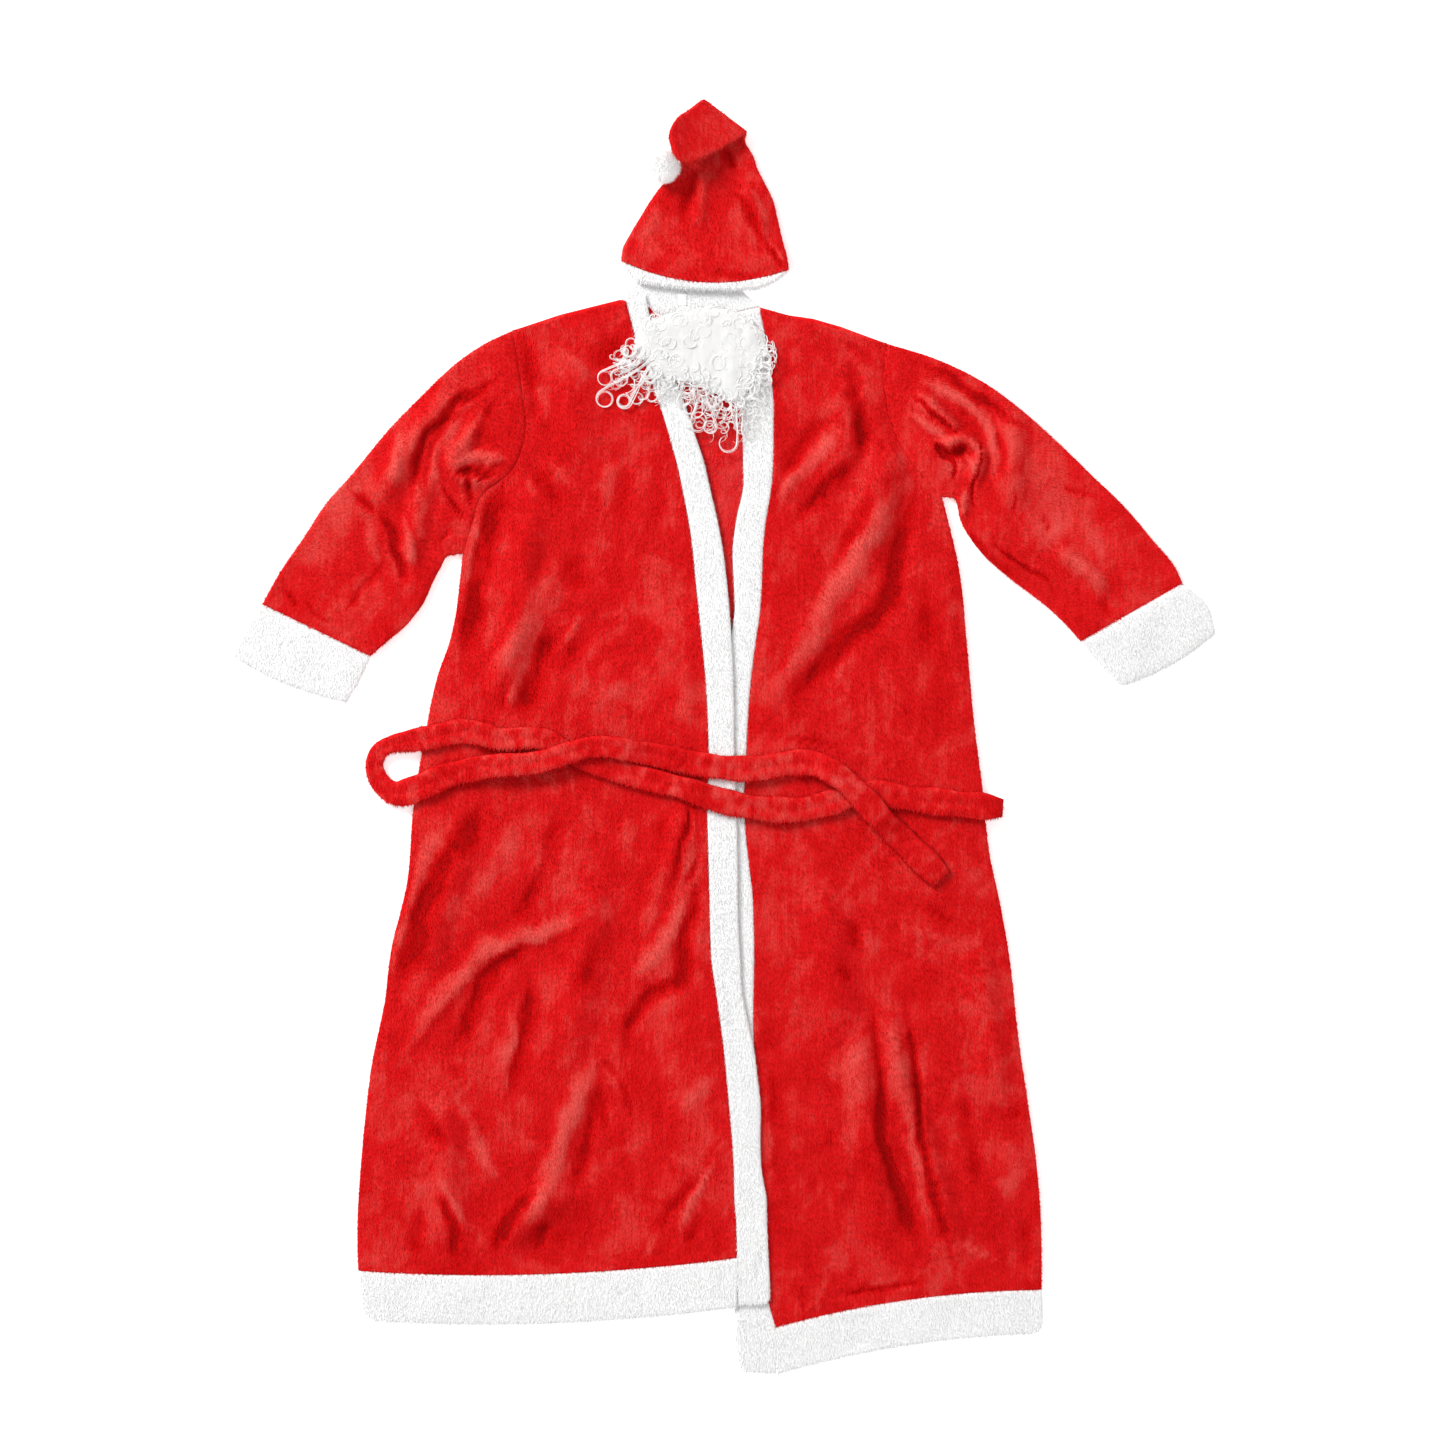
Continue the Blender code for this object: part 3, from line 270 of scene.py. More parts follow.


# Folds and creases that only the looks have, as they were laid out on the picture. Columns: how wide a fold
# falls away on the left and on the right hand of its crest, its height (negative for a trough), its painted
# tone, from painted highlight on a ridge (1) to painted shade in a trough (-1), which stands for the light and
# shade of the fold as well as for pile that stands open or leans away (on rows without height it only lightens
# or darkens the pile's tone), then its crest
ROBE_CREASES = {
    "left armhole": (12, 17, -1.6, -0.42, ((527, 340), (531, 372), (533, 405), (528, 432))),
    "left chest line": (15, 10, 1.2, 0.19, ((541, 372), (542, 395), (547, 428))),
    "left shoulder slant": (8, 14, 1.0, 0.15, ((548, 338), (572, 360), (600, 384))),
    "left fan shade": (10, 14, -1.6, -0.42, ((520, 455), (540, 475), (556, 498), (562, 515))),
    "left fan light": (8, 8, 1.3, 0.25, ((524, 476), (536, 494), (541, 508))),
    "left fan far": (12, 12, 1.1, 0.15, ((540, 455), (565, 480), (588, 500))),
    "left cup shade": (27, 27, -1.6, -0.34, ((572, 548), (574, 575), (572, 598))),
    "left side trough": (27, 15, -4.0, -0.77, (
        (516, 470), (496, 500), (484, 540), (477, 580), (469, 625), (461, 690))),
    "left side roll": (14, 14, 1.9, 0.37, ((480, 478), (473, 510), (469, 545), (462, 590))),
    "left waist ridge": (27, 24, 3.7, 0.50, ((553, 545), (547, 580), (534, 612), (515, 645), (500, 675), (489, 705))),
    "left waist second": (14, 14, 2.2, 0.31, ((536, 648), (524, 672), (513, 695), (504, 718))),
    "left waist slit": (5, 5, -1.2, -0.59, ((512, 686), (503, 700), (497, 714))),
    "left waist trough": (27, 20, -3.7, -0.77, ((566, 622), (548, 645), (537, 668), (528, 695), (519, 722))),
    "left waist slant": (8, 8, 1.5, 0.31, ((592, 608), (570, 633), (552, 655), (543, 672))),
    "left slant shade": (17, 14, -1.6, -0.42, ((598, 606), (584, 638), (566, 662), (556, 684))),
    "left belly low": (14, 20, 1.2, 0.15, ((634, 676), (608, 694), (585, 712))),
    "left belly high": (14, 17, 1.0, 0.12, ((640, 650), (600, 676), (560, 700))),
    "left band strip": (15, 14, 1.6, 0.22, ((692, 655), (685, 690), (688, 738))),
    "left chest column": (17, 20, -1.1, -0.30, ((622, 462), (624, 492), (622, 525))),
    "left chest column 2": (14, 14, -0.7, -0.21, ((657, 470), (658, 500), (655, 525))),
    "left chest light": (17, 14, 1.0, 0.22, ((606, 458), (606, 482), (602, 505))),
    "left neck shade": (31, 31, -0.9, -0.30, ((610, 330), (612, 352), (606, 372))),
    "right shoulder": (8, 14, -1.0, -0.34, ((838, 341), (862, 352), (880, 369))),
    "right neck rib": (12, 15, -0.7, -0.26, ((788, 330), (787, 360), (790, 390))),
    "right chest trough": (17, 15, -3.1, -0.77, ((851, 358), (853, 388), (858, 415), (862, 440), (861, 465))),
    "right chest light": (14, 14, 1.2, 0.25, ((842, 390), (830, 408), (812, 424))),
    "right fan shade": (15, 20, -1.9, -0.51, ((850, 402), (826, 420), (803, 442), (788, 466), (779, 492))),
    "right fan ridge": (15, 14, 2.8, 0.50, ((848, 424), (826, 446), (803, 468), (787, 487), (774, 508))),
    "right fan trough": (20, 15, -2.5, -0.59, ((863, 454), (842, 472), (820, 490), (802, 510), (794, 528))),
    "right fan line": (5, 6, -0.9, -0.42, ((874, 434), (892, 456))),
    "right long ridge": (26, 22, 4.0, 0.53, (
        (934, 472), (908, 481), (891, 500), (877, 528), (858, 556), (842, 582), (824, 612), (808, 642),
        (790, 670), (773, 697), (762, 728))),
    "right long shade": (12, 15, -1.9, -0.59, ((870, 484), (863, 512), (851, 538), (838, 560))),
    "right long trough": (22, 17, -3.4, -0.68, (
        (930, 488), (912, 508), (901, 540), (894, 572), (886, 604), (862, 626), (840, 646), (818, 670),
        (800, 692), (788, 722))),
    "right side rib": (17, 20, -1.1, -0.30, ((926, 570), (925, 615), (926, 665))),
    "right side light": (14, 14, 0.9, 0.15, ((946, 560), (950, 620), (956, 690))),
    "right waist fold": (6, 8, -1.2, -0.42, ((770, 738), (810, 740), (852, 743))),
    "right belly line": (6, 6, 0.9, 0.22, ((866, 670), (870, 698), (874, 724))),
    "right belly light": (27, 27, 0.9, 0.19, ((832, 690), (845, 715), (850, 738))),
    "left skirt trough": (34, 19, -4.7, -0.85, (
        (500, 788), (479, 810), (460, 838), (441, 868), (427, 902), (414, 936), (403, 972), (397, 1012))),
    "left skirt roll": (14, 20, 2.2, 0.43, ((452, 806), (430, 850), (414, 892), (400, 936), (390, 985))),
    "left thigh light": (24, 20, 1.2, 0.22, ((520, 806), (500, 850), (474, 900), (446, 950))),
    "left thigh step": (27, 10, -1.9, -0.38, ((556, 800), (549, 840), (538, 880), (520, 906), (499, 930))),
    "left diagonal": (12, 24, 3.4, 0.50, (
        (606, 893), (585, 916), (556, 931), (520, 941), (490, 951), (462, 980), (436, 1010), (410, 1046),
        (384, 1078))),
    "left diagonal shade": (24, 10, -2.8, -0.64, (
        (545, 946), (512, 952), (490, 968), (472, 1002), (460, 1036), (448, 1066))),
    "left middle": (12, 24, 1.9, 0.31, ((522, 985), (514, 1030), (504, 1075), (498, 1105))),
    "left middle line": (24, 8, -2.2, -0.51, ((533, 962), (527, 1010), (516, 1060), (507, 1112))),
    "left middle dip": (24, 24, -1.9, -0.47, ((626, 908), (606, 944), (584, 978), (566, 1004))),
    "left fly line": (5, 6, -2.4, -0.85, ((690, 794), (686, 832), (677, 868), (667, 893))),
    "left fly light": (6, 5, 1.5, 0.43, ((697, 806), (691, 846), (681, 880), (668, 912))),
    "left fly second": (6, 5, -1.5, -0.51, ((703, 840), (690, 872), (682, 892))),
    "left fly ridge": (15, 17, 2.8, 0.46, ((694, 866), (682, 902), (668, 934), (648, 962), (622, 988))),
    "left fly inner": (15, 17, 1.7, 0.31, ((664, 850), (654, 900), (640, 948))),
    "left fly column": (14, 14, -1.2, -0.34, ((660, 806), (662, 840), (658, 866))),
    "left fly upper": (14, 14, 1.1, 0.22, ((632, 806), (624, 846), (628, 884))),
    "left fly trough": (17, 14, -3.7, -0.81, (
        (706, 868), (691, 905), (683, 944), (676, 982), (650, 994), (633, 1014), (628, 1044), (621, 1076))),
    "left fly tail": (5, 8, -1.5, -0.51, ((621, 1072), (626, 1100), (633, 1122))),
    "left fly tail 2": (6, 5, -1.2, -0.42, ((622, 1076), (611, 1066), (602, 1056))),
    "left apron shade": (31, 31, -0.9, -0.26, ((654, 1070), (656, 1100), (650, 1130))),
    "left apron light": (12, 12, 1.2, 0.28, ((716, 1072), (698, 1089), (683, 1106), (678, 1120))),
    "left long ridge": (15, 22, 3.7, 0.53, (
        (602, 1040), (593, 1068), (578, 1098), (563, 1132), (554, 1166), (539, 1202), (520, 1230), (498, 1254))),
    "left long shade": (20, 10, -3.4, -0.77, ((603, 1064), (597, 1100), (587, 1134), (577, 1164), (574, 1204))),
    "left long under": (8, 17, -3.1, -0.77, ((540, 1186), (520, 1210), (506, 1234), (490, 1256))),
    "left long tail": (10, 14, -1.6, -0.42, ((549, 1216), (540, 1236), (534, 1256))),
    "left long split": (5, 5, -1.1, -0.34, ((598, 1098), (604, 1116), (609, 1136))),
    "left knee": (10, 15, 2.2, 0.37, ((455, 1088), (468, 1118), (481, 1150), (498, 1178), (512, 1188))),
    "left knee low": (8, 14, 1.9, 0.37, ((439, 1164), (446, 1190), (460, 1214), (476, 1238))),
    "left knee shade": (14, 17, -1.9, -0.47, ((420, 1096), (432, 1128), (446, 1150))),
    "left knee trough": (14, 10, -3.1, -0.81, ((436, 1180), (444, 1206), (452, 1232), (454, 1262))),
    "left foot trough": (15, 20, -1.9, -0.64, ((424, 1206), (417, 1234), (412, 1262))),
    "left foot light": (12, 12, 0.9, 0.25, ((410, 1192), (428, 1194))),
    "left band foot": (5, 8, 2.1, 0.50, ((720, 1154), (704, 1181), (690, 1206), (676, 1242))),
    "left band shade": (7, 17, -1.6, -0.51, ((704, 1166), (690, 1190), (668, 1216), (650, 1236))),
    "left band shade 2": (14, 7, -1.2, -0.42, ((706, 1206), (693, 1226), (680, 1250))),
    "left foot line": (5, 8, 0.9, 0.31, ((664, 1232), (652, 1246), (645, 1260))),
    "right hip shade": (12, 14, -1.2, -0.42, ((851, 916), (856, 938), (860, 958))),
    "right hip dip": (10, 12, -1.1, -0.34, ((836, 962), (846, 972), (852, 982))),
    "right hip light": (12, 14, 1.0, 0.22, ((868, 914), (870, 940), (876, 962))),
    "right hip wrinkle": (6, 6, -1.0, -0.34, ((902, 902), (936, 914), (968, 926))),
    "right wrinkle light": (6, 8, 1.0, 0.22, ((896, 926), (930, 934), (962, 944))),
    "right wrinkle low": (6, 8, -0.8, -0.30, ((884, 950), (912, 958), (936, 974))),
    "right hip slant": (14, 14, -0.9, -0.26, ((798, 824), (816, 842), (830, 862))),
    "right line one": (10, 12, -2.8, -0.81, (
        (866, 978), (871, 1010), (877, 1050), (882, 1090), (882, 1138), (892, 1170), (904, 1204), (915, 1240),
        (930, 1276))),
    "right line two": (8, 8, -3.0, -0.85, (
        (906, 978), (908, 1010), (913, 1055), (918, 1100), (923, 1145), (935, 1190), (944, 1232), (957, 1272),
        (968, 1284))),
    "right middle ridge": (14, 14, 2.5, 0.43, (
        (888, 988), (894, 1035), (901, 1085), (911, 1140), (922, 1190), (930, 1232), (935, 1272))),
    "right middle slit": (4, 5, -0.9, -0.42, ((903, 1112), (907, 1134), (910, 1154))),
    "right left ridge": (15, 24, 1.6, 0.28, (
        (856, 988), (858, 1040), (857, 1095), (852, 1150), (840, 1198), (827, 1242))),
    "right apron light": (34, 31, 0.9, 0.22, ((842, 1034), (834, 1062), (826, 1090))),
    "right lower shade": (20, 17, -1.1, -0.34, ((896, 1186), (902, 1214), (906, 1244))),
    "right band shade": (24, 8, -1.2, -0.38, ((772, 1050), (773, 1100), (776, 1150), (782, 1204))),
    "right outer shade": (14, 15, -1.6, -0.42, ((964, 1084), (969, 1124), (976, 1166), (984, 1204))),
    "right outer light": (24, 20, 1.2, 0.28, ((1006, 1134), (1009, 1170), (1012, 1206))),
    "right outer cross": (12, 12, -0.9, -0.30, ((980, 1108), (1006, 1112), (1030, 1114))),
    "right outer low": (14, 17, -1.2, -0.38, ((1026, 1214), (1026, 1244), (1030, 1270))),
    "right hem fold": (5, 8, -2.1, -0.77, ((822, 1296), (850, 1293), (880, 1288), (908, 1282), (930, 1281))),
    "right hem curve": (6, 8, 1.1, 0.25, ((952, 1240), (980, 1254), (1012, 1264))),
    "left chest nap": (60, 60, 0.0, -0.22, ((560, 360), (580, 430), (640, 500))),
    "left hem nap": (60, 60, 0.0, -0.25, ((400, 1225), (480, 1250), (560, 1240), (640, 1225))),
    "left hip nap": (50, 60, 0.0, 0.18, ((520, 800), (490, 870), (460, 930))),
    "right skirt nap": (110, 110, 0.0, -0.3, ((800, 1110), (870, 1180), (950, 1250))),
    "right side nap": (60, 60, 0.0, -0.15, ((900, 580), (930, 680), (940, 760))),
    "right hem nick": (5, 5, -0.9, -0.42, ((800, 1284), (802, 1298), (804, 1312))),
}
# The sleeves' creases, with the same columns: painted highlight on ridges and painted shade in troughs
SLEEVE_CREASES = {
    "left cap nap": (36, 36, 0.0, -0.12, ((470, 400), (490, 425), (500, 450))),
    "left nap": (60, 60, 0.0, 0.46, ((440, 380), (380, 450), (320, 540), (320, 590))),
    "right nap": (75, 75, 0.0, 0.5, ((985, 440), (1040, 510), (1130, 590))),
    "left arc": (8, 11, -3.9, -0.89, (
        (514, 369), (498, 376), (480, 390), (460, 401), (444, 420), (426, 436), (418, 455), (414, 480), (412, 512))),
    "left arc light": (15, 8, 2.9, 0.40, ((470, 412), (446, 438), (432, 468), (430, 505))),
    "left flap edge": (13, 8, 5.5, 0.50, ((454, 470), (460, 462), (476, 459), (494, 459), (513, 462))),
    "left inner arc": (8, 10, -2.6, -0.50, ((499, 402), (488, 414), (478, 432), (466, 444))),
    "left flap slit": (8, 8, -9.0, -1.90, ((452, 474), (466, 472), (480, 473), (496, 475))),
    "left flap stem": (6, 6, -6.0, -1.60, ((466, 472), (469, 486), (473, 506))),
    "left flap line": (4, 4, -3.0, -0.90, ((436, 480), (452, 502), (469, 522))),
    "left elbow top": (8, 10, -2.9, -0.72, ((350, 492), (366, 505), (380, 513))),
    "left elbow": (10, 8, -5.3, -0.93, ((378, 508), (389, 530), (395, 550), (404, 568), (404, 592))),
    "left elbow light": (11, 8, 2.9, 0.40, ((398, 506), (404, 530), (412, 552), (418, 575))),
    "left fore ridge": (10, 10, 2.5, 0.32, ((366, 520), (372, 545), (380, 570))),
    "left outer ridge": (10, 10, 2.5, 0.32, ((404, 430), (396, 458), (392, 490))),
    "left fore slant": (7, 8, -1.8, -0.41, ((384, 562), (362, 588), (340, 616))),
    "left cuff arc": (5, 7, -2.0, -0.52, ((276, 586), (290, 596), (297, 612))),
    "left cuff line": (4, 5, -1.4, -0.41, ((300, 598), (316, 612), (334, 622))),
    "left under line": (3, 4, -2.0, -0.62, ((455, 526), (446, 536), (436, 548))),
    "right top shade": (8, 10, -1.4, -0.83, ((904, 358), (938, 370), (972, 392), (1004, 414), (1042, 438))),
    "right upper ridge": (11, 11, 3.4, 0.48, ((906, 378), (940, 389), (972, 408), (990, 432), (995, 460), (988, 490))),
    "right fold": (5, 7, -6.4, -1.00, ((910, 391), (922, 401), (938, 416), (952, 427), (963, 438))),
    "right fold lip": (7, 8, 3.4, 0.48, ((906, 410), (924, 422), (944, 436), (958, 442))),
    "right outline": (3, 4, -3.4, -0.83, (
        (962, 437), (975, 439), (981, 450), (979, 468), (973, 484), (974, 500), (984, 518))),
    "right knot": (8, 8, -9.0, -1.90, ((928, 443), (941, 450), (951, 456), (960, 450), (968, 441))),
    "right knot stem": (4, 4, -4.9, -0.93, ((951, 456), (955, 468), (952, 482))),
    "right knot ball": (5, 5, 2.9, 0.40, ((962, 452), (970, 460), (972, 472))),
    "right elbow roll": (8, 7, 3.4, 0.48, ((966, 484), (962, 502), (964, 520))),
    "right outer arc": (7, 8, -2.0, -0.47, ((996, 425), (1003, 448), (1001, 480))),
    "right outer nick": (4, 4, -1.4, -0.52, ((1014, 486), (1016, 500), (1014, 514))),
    "right lower line": (4, 5, -2.5, -0.72, ((984, 535), (1004, 552), (1026, 568), (1046, 578), (1062, 602))),
    "right lower shade": (8, 8, -2.0, -0.52, ((962, 522), (976, 542), (998, 566), (1022, 582))),
    "right fore line": (4, 5, -1.2, -0.31, ((1058, 484), (1080, 492), (1104, 499))),
    "right fore dip": (7, 5, -1.2, -0.37, ((1040, 516), (1050, 526), (1048, 538))),
    "right cuff slant": (7, 8, -1.4, -0.37, ((1094, 594), (1104, 606), (1110, 620))),
}
# The hat's creases, with the same columns: painted highlight on ridges and painted shade in troughs
HAT_CREASES = {
    "centre ridge": (12, 8, 0.8, 0.30, ((704, 158), (703, 185), (702, 210), (701, 236))),
    "centre shade": (8, 16, -1.6, -0.60, ((694, 160), (693, 182), (687, 206), (681, 232))),
    "left light": (11, 11, 1.3, 0.31, ((660, 200), (652, 220), (644, 240))),
    "left line": (5, 6, -1.1, -0.40, ((658, 232), (668, 246), (678, 256))),
    "left corner": (10, 10, -0.7, -0.35, ((636, 236), (631, 250), (628, 258))),
    "tip shade": (8, 8, -2.2, -0.79, ((726, 144), (729, 160), (736, 174))),
    "right crease": (6, 6, -2.6, -1.00, ((728, 188), (742, 199), (751, 216), (760, 236), (768, 250))),
    "right crease low": (5, 5, -1.4, -0.59, ((748, 206), (753, 226), (759, 246), (764, 266))),
    "right ridge": (7, 7, 1.8, 0.31, ((748, 184), (760, 206), (770, 230))),
    "right edge line": (5, 5, -1.8, -0.80, ((760, 234), (773, 254), (786, 272))),
    "right edge light": (5, 5, 1.1, 0.35, ((768, 238), (779, 256), (786, 266))),
    "foot shade": (7, 10, -1.1, -0.50, ((700, 273), (740, 274), (772, 270))),
}


def from_photo(table, pairs=1):
    """A table with its leading plan points turned from the picture's pixels into millimetres."""
    table = np.array(table, float)
    for k in range(pairs):
        table[:, 2 * k] = (table[:, 2 * k] - MIDDLE_PX[0]) * PIXEL
        table[:, 2 * k + 1] = (MIDDLE_PX[1] - table[:, 2 * k + 1]) * PIXEL
    return table


def smooth_step(value, low, high):
    share = np.clip((np.asarray(value, float) - low) / (high - low), 0, 1)
    return share * share * (3 - 2 * share)


def way_along(path):
    """Distance of each point of a path from its start, measured along the path."""
    return np.concatenate([[0], np.cumsum(np.linalg.norm(np.diff(path, axis=0), axis=1))])


def ahead_and_aside(path):
    """Unit steps along a path in plan, and to its left hand."""
    ahead = np.gradient(path, axis=0)
    ahead /= np.linalg.norm(ahead, axis=1)[:, None]
    return ahead, np.stack([-ahead[:, 1], ahead[:, 0]], axis=1)


def smooth_curve(points, count, spacing_columns=2):
    """count rows evenly spaced along a smooth curve through the table's rows, every column carried along."""
    points = np.array(points, float)
    at = way_along(points[:, :spacing_columns])
    slopes = np.gradient(points, at, axis=0)
    fine = np.linspace(0, at[-1], 24 * len(points))
    span = np.clip(np.searchsorted(at, fine, side="right") - 1, 0, len(at) - 2)
    width = (at[span + 1] - at[span])[:, None]
    t = (fine[:, None] - at[span][:, None]) / width
    curve = (
        (2 * t**3 - 3 * t**2 + 1) * points[span]
        + (t**3 - 2 * t**2 + t) * width * slopes[span]
        + (3 * t**2 - 2 * t**3) * points[span + 1]
        + (t**3 - t**2) * width * slopes[span + 1]
    )
    length = way_along(curve[:, :spacing_columns])
    even = np.linspace(0, length[-1], count)
    return np.stack([np.interp(even, length, curve[:, k]) for k in range(points.shape[1])], axis=1)


def patch(left, right, across, bottom_bow=0.0):
    """Plan points of a panel between its two long edges, which have the same number of rows. across holds the
    columns' shares of the way between them, or their number if they are even. The bow lifts the middle of the
    last row towards +Y and fades into the panel."""
    if isinstance(across, int):
        across = np.linspace(0, 1, across + 1)
    plan = left[:, None, :] * (1 - across[:, None]) + right[:, None, :] * across[:, None]
    arch = 4 * across * (1 - across)
    down = np.linspace(0, 1, len(left))[:, None]
    plan[:, :, 1] += arch * bottom_bow * down**3
    return plan


def rounded_shares(count):
    """Shares from 0 to 1 that lie closer together at both ends, like points of a circle seen edge-on."""
    return (1 - np.cos(np.linspace(0, math.pi, count + 1))) / 2


def fold_height(x, y, folds):
    """Height of the folds over each point: a rounded ridge along every crest, fading at its ends."""
    x, y = np.asarray(x, float), np.asarray(y, float)
    height = np.zeros(x.shape)
    for half_width, rise, crest in folds.values():
        line = smooth_curve(from_photo(crest), 25)
        away = np.hypot(x[..., None] - line[:, 0], y[..., None] - line[:, 1])
        nearest = away.argmin(axis=-1)
        along = nearest / (len(line) - 1)
        ends = smooth_step(np.minimum(along, 1 - along), 0, 0.3)
        ridge = smooth_step(1 - away.min(axis=-1) / half_width, 0, 1)
        height = np.maximum(height, rise * ridge * ends)
    return height


def band_rim(table, hem_top_px):
    """The sewn edge of a band: first the rows it shares with the front's edge, from the neck to the top of
    the hem band, then a few rows down to its own end."""
    line = smooth_curve(from_photo(table), 600)
    last = int(np.argmin(abs(line[:, 1] - (MIDDLE_PX[1] - hem_top_px) * PIXEL)))
    shared = np.linspace(0, last, ARMHOLE_ROWS + SIDE_ROWS + 1).astype(int)
    below = np.linspace(last, len(line) - 1, BAND_END_ROWS + 1).astype(int)[1:]
    return line[[*shared, *below]]


def front_underside(plan, from_side, over_band):
    """Height under a front. from_side runs from 0 at the side seam to 1 at the band."""
    x, y = plan[..., 0], plan[..., 1]
    height = FRONT_REST + FRONT_LOFT * smooth_step(from_side, 0, 0.12)
    if over_band:
        lapped = smooth_step(-y, -CROSSING_TOP_Y, -CROSSING_FULL_Y)
        climb = OVER_BAND_REST - FRONT_REST - FRONT_LOFT
        height = height + climb * lapped * smooth_step(from_side, 0.72, 0.93)
    inland = smooth_step(np.minimum(from_side, 1 - from_side), 0, 0.1)
    return height + fold_height(x, y, BODY_FOLDS) * inland


def body_edge(armhole, side):
    """An outer edge of the robe. Its points at the armhole are those of the sleeve's first ring."""
    fine = smooth_curve(from_photo(armhole), 101)
    shares, along = rounded_shares(ARMHOLE_ROWS), np.linspace(0, 1, 101)
    upper = np.stack([np.interp(shares, along, fine[:, k]) for k in range(2)], axis=1)
    lower = smooth_curve(from_photo(side), SIDE_ROWS + 1)
    return np.concatenate([upper, lower[1:]])


def top_finder(objects):
    """A function that gives the height of the uppermost surface of the objects at a plan point, in mm."""
    trees = [BVHTree.FromPolygons([v.co for v in o.data.vertices], [p.vertices[:] for p in o.data.polygons])
             for o in objects]

    def top_at(x, y):
        start = Vector((x * MM, y * MM, 1.0))
        hits = [tree.ray_cast(start, Vector((0, 0, -1)))[0] for tree in trees]
        return max([hit.z / MM for hit in hits if hit is not None], default=0.0)

    return top_at

# Tone of the pile: where its shades lie, from the painted shade in the depth of a fold through the deep and
# main shades to the light one, and how dark that painted shade is next to the deep one
SHADE_PLACES = (0.0, 0.14, 0.5, 1.0)
DEPTH_PAINTED_SHADE = 0.74

# Pile: the tufts on a square metre, their size in metres, and the way that they are brushed
RED_PILE = {
    "Tufts per m2": 350000.0, "Length": 0.0034, "Width": 0.0012, "Nap": (0.1, -1.0, 0.0), "Lean": 1.1,
    "Swirl": 1.5, "Patch per m": 24.0,
}
WHITE_PILE = {
    "Tufts per m2": 560000.0, "Length": 0.0032, "Width": 0.0010, "Nap": (0.0, -0.8, 0.0), "Lean": 1.1,
    "Swirl": 0.5, "Patch per m": 40.0,
}

# Strands of hair: radius at the root, then the coil's radius and pitch
STRAND_RADIUS = 0.34
COIL_RADIUS = 5.2
COIL_PITCH = 11.0


def finer(rows, at):
    """The table's rows at fractional places, on a smooth curve through all of them."""
    rows = np.array(rows, float)
    slopes = np.gradient(rows, axis=0)
    first = np.clip(np.floor(at).astype(int), 0, len(rows) - 2)
    shape = (-1,) + (1,) * (rows.ndim - 1)
    t = (np.asarray(at) - first).reshape(shape)
    return (
        (2 * t**3 - 3 * t**2 + 1) * rows[first]
        + (t**3 - 2 * t**2 + t) * slopes[first]
        + (3 * t**2 - 2 * t**3) * rows[first + 1]
        + (t**3 - t**2) * slopes[first + 1]
    )


def places(last, steps, crowded=(0.05, 0.16, 0.4)):
    """Places from 0 to last with the given steps between whole numbers, crowded towards both ends."""
    even = np.linspace(0, last, last * steps + 1)
    ends = np.array(crowded)
    return np.unique(np.concatenate([even, ends, last - ends]))


def crowded_shares(count, ends=(0.004, 0.012, 0.026)):
    ends = np.array(ends)
    return np.unique(np.concatenate([np.linspace(0, 1, count + 1), ends, 1 - ends]))


def crease_relief(x, y, creases):
    """Height of the creases over each point, and their painted tone there: painted highlight on a ridge, painted
    shade in a trough, and lighter or darker pile where a row has no height. Ridges and troughs add up, each has
    its own slope on either side of its crest, and each narrows and fades towards its ends."""
    x, y = np.asarray(x, float), np.asarray(y, float)
    x, y = (
        x + slack(x, y, 22.0, 5.0, 31) + slack(x, y, 8.0, 2.0, 33),
        y + slack(x, y, 22.0, 5.0, 37) + slack(x, y, 8.0, 2.0, 39),
    )
    height, nap = np.zeros(x.shape), np.zeros(x.shape)
    for left_width, right_width, rise, share, crest in creases.values():
        bends = from_photo(crest)
        length = np.linalg.norm(np.diff(bends, axis=0), axis=1).sum()
        line = smooth_curve(bends, max(8, int(length / CREASE_STEP)))
        reach = max(left_width, right_width)
        low, high = line.min(axis=0) - reach, line.max(axis=0) + reach
        near = (x > low[0]) & (x < high[0]) & (y > low[1]) & (y < high[1])
        if not near.any():
            continue
        east, north = x[near][:, None] - line[:, 0], y[near][:, None] - line[:, 1]
        away = np.hypot(east, north)
        nearest = away.argmin(axis=1)
        spot = np.arange(len(nearest))
        ahead = np.gradient(line, axis=0)[nearest]
        on_left = ahead[:, 0] * north[spot, nearest] > ahead[:, 1] * east[spot, nearest]
        along = nearest / (len(line) - 1)
        ends = smooth_step(np.minimum(along, 1 - along), 0, 0.32)
        width = np.where(on_left, left_width, right_width) * (0.5 + 0.5 * ends)
        shape = smooth_step(1 - away[spot, nearest] / width, 0, 1) * ends
        height[near] += rise * shape
        nap[near] += share * shape
    return height, nap * (0.92 + slack(x, y, 26.0, 0.5, 41))


def slack(x, y, span, rise, layer=0.0):
    """Gentle unevenness of loose cloth: rise is its height and span the width of a wave."""
    x, y = np.asarray(x, float), np.asarray(y, float)
    flat = [
        noise.noise(Vector((u / span, v / span / 1.6, layer))) for u, v in zip(x.ravel(), y.ravel())
    ]
    return np.array(flat).reshape(x.shape) * rise


def from_rim(plan):
    """Distance of each point of a grid from the nearest edge of the panel, measured along the grid."""
    across = np.linalg.norm(np.diff(plan, axis=1), axis=2)
    down = np.linalg.norm(np.diff(plan, axis=0), axis=2)
    left = np.concatenate([np.zeros((len(plan), 1)), np.cumsum(across, axis=1)], axis=1)
    top = np.concatenate([np.zeros((1, plan.shape[1])), np.cumsum(down, axis=0)], axis=0)
    edges = [left, left[:, -1:] - left, top, top[-1:] - top]
    return np.min(edges, axis=0), edges


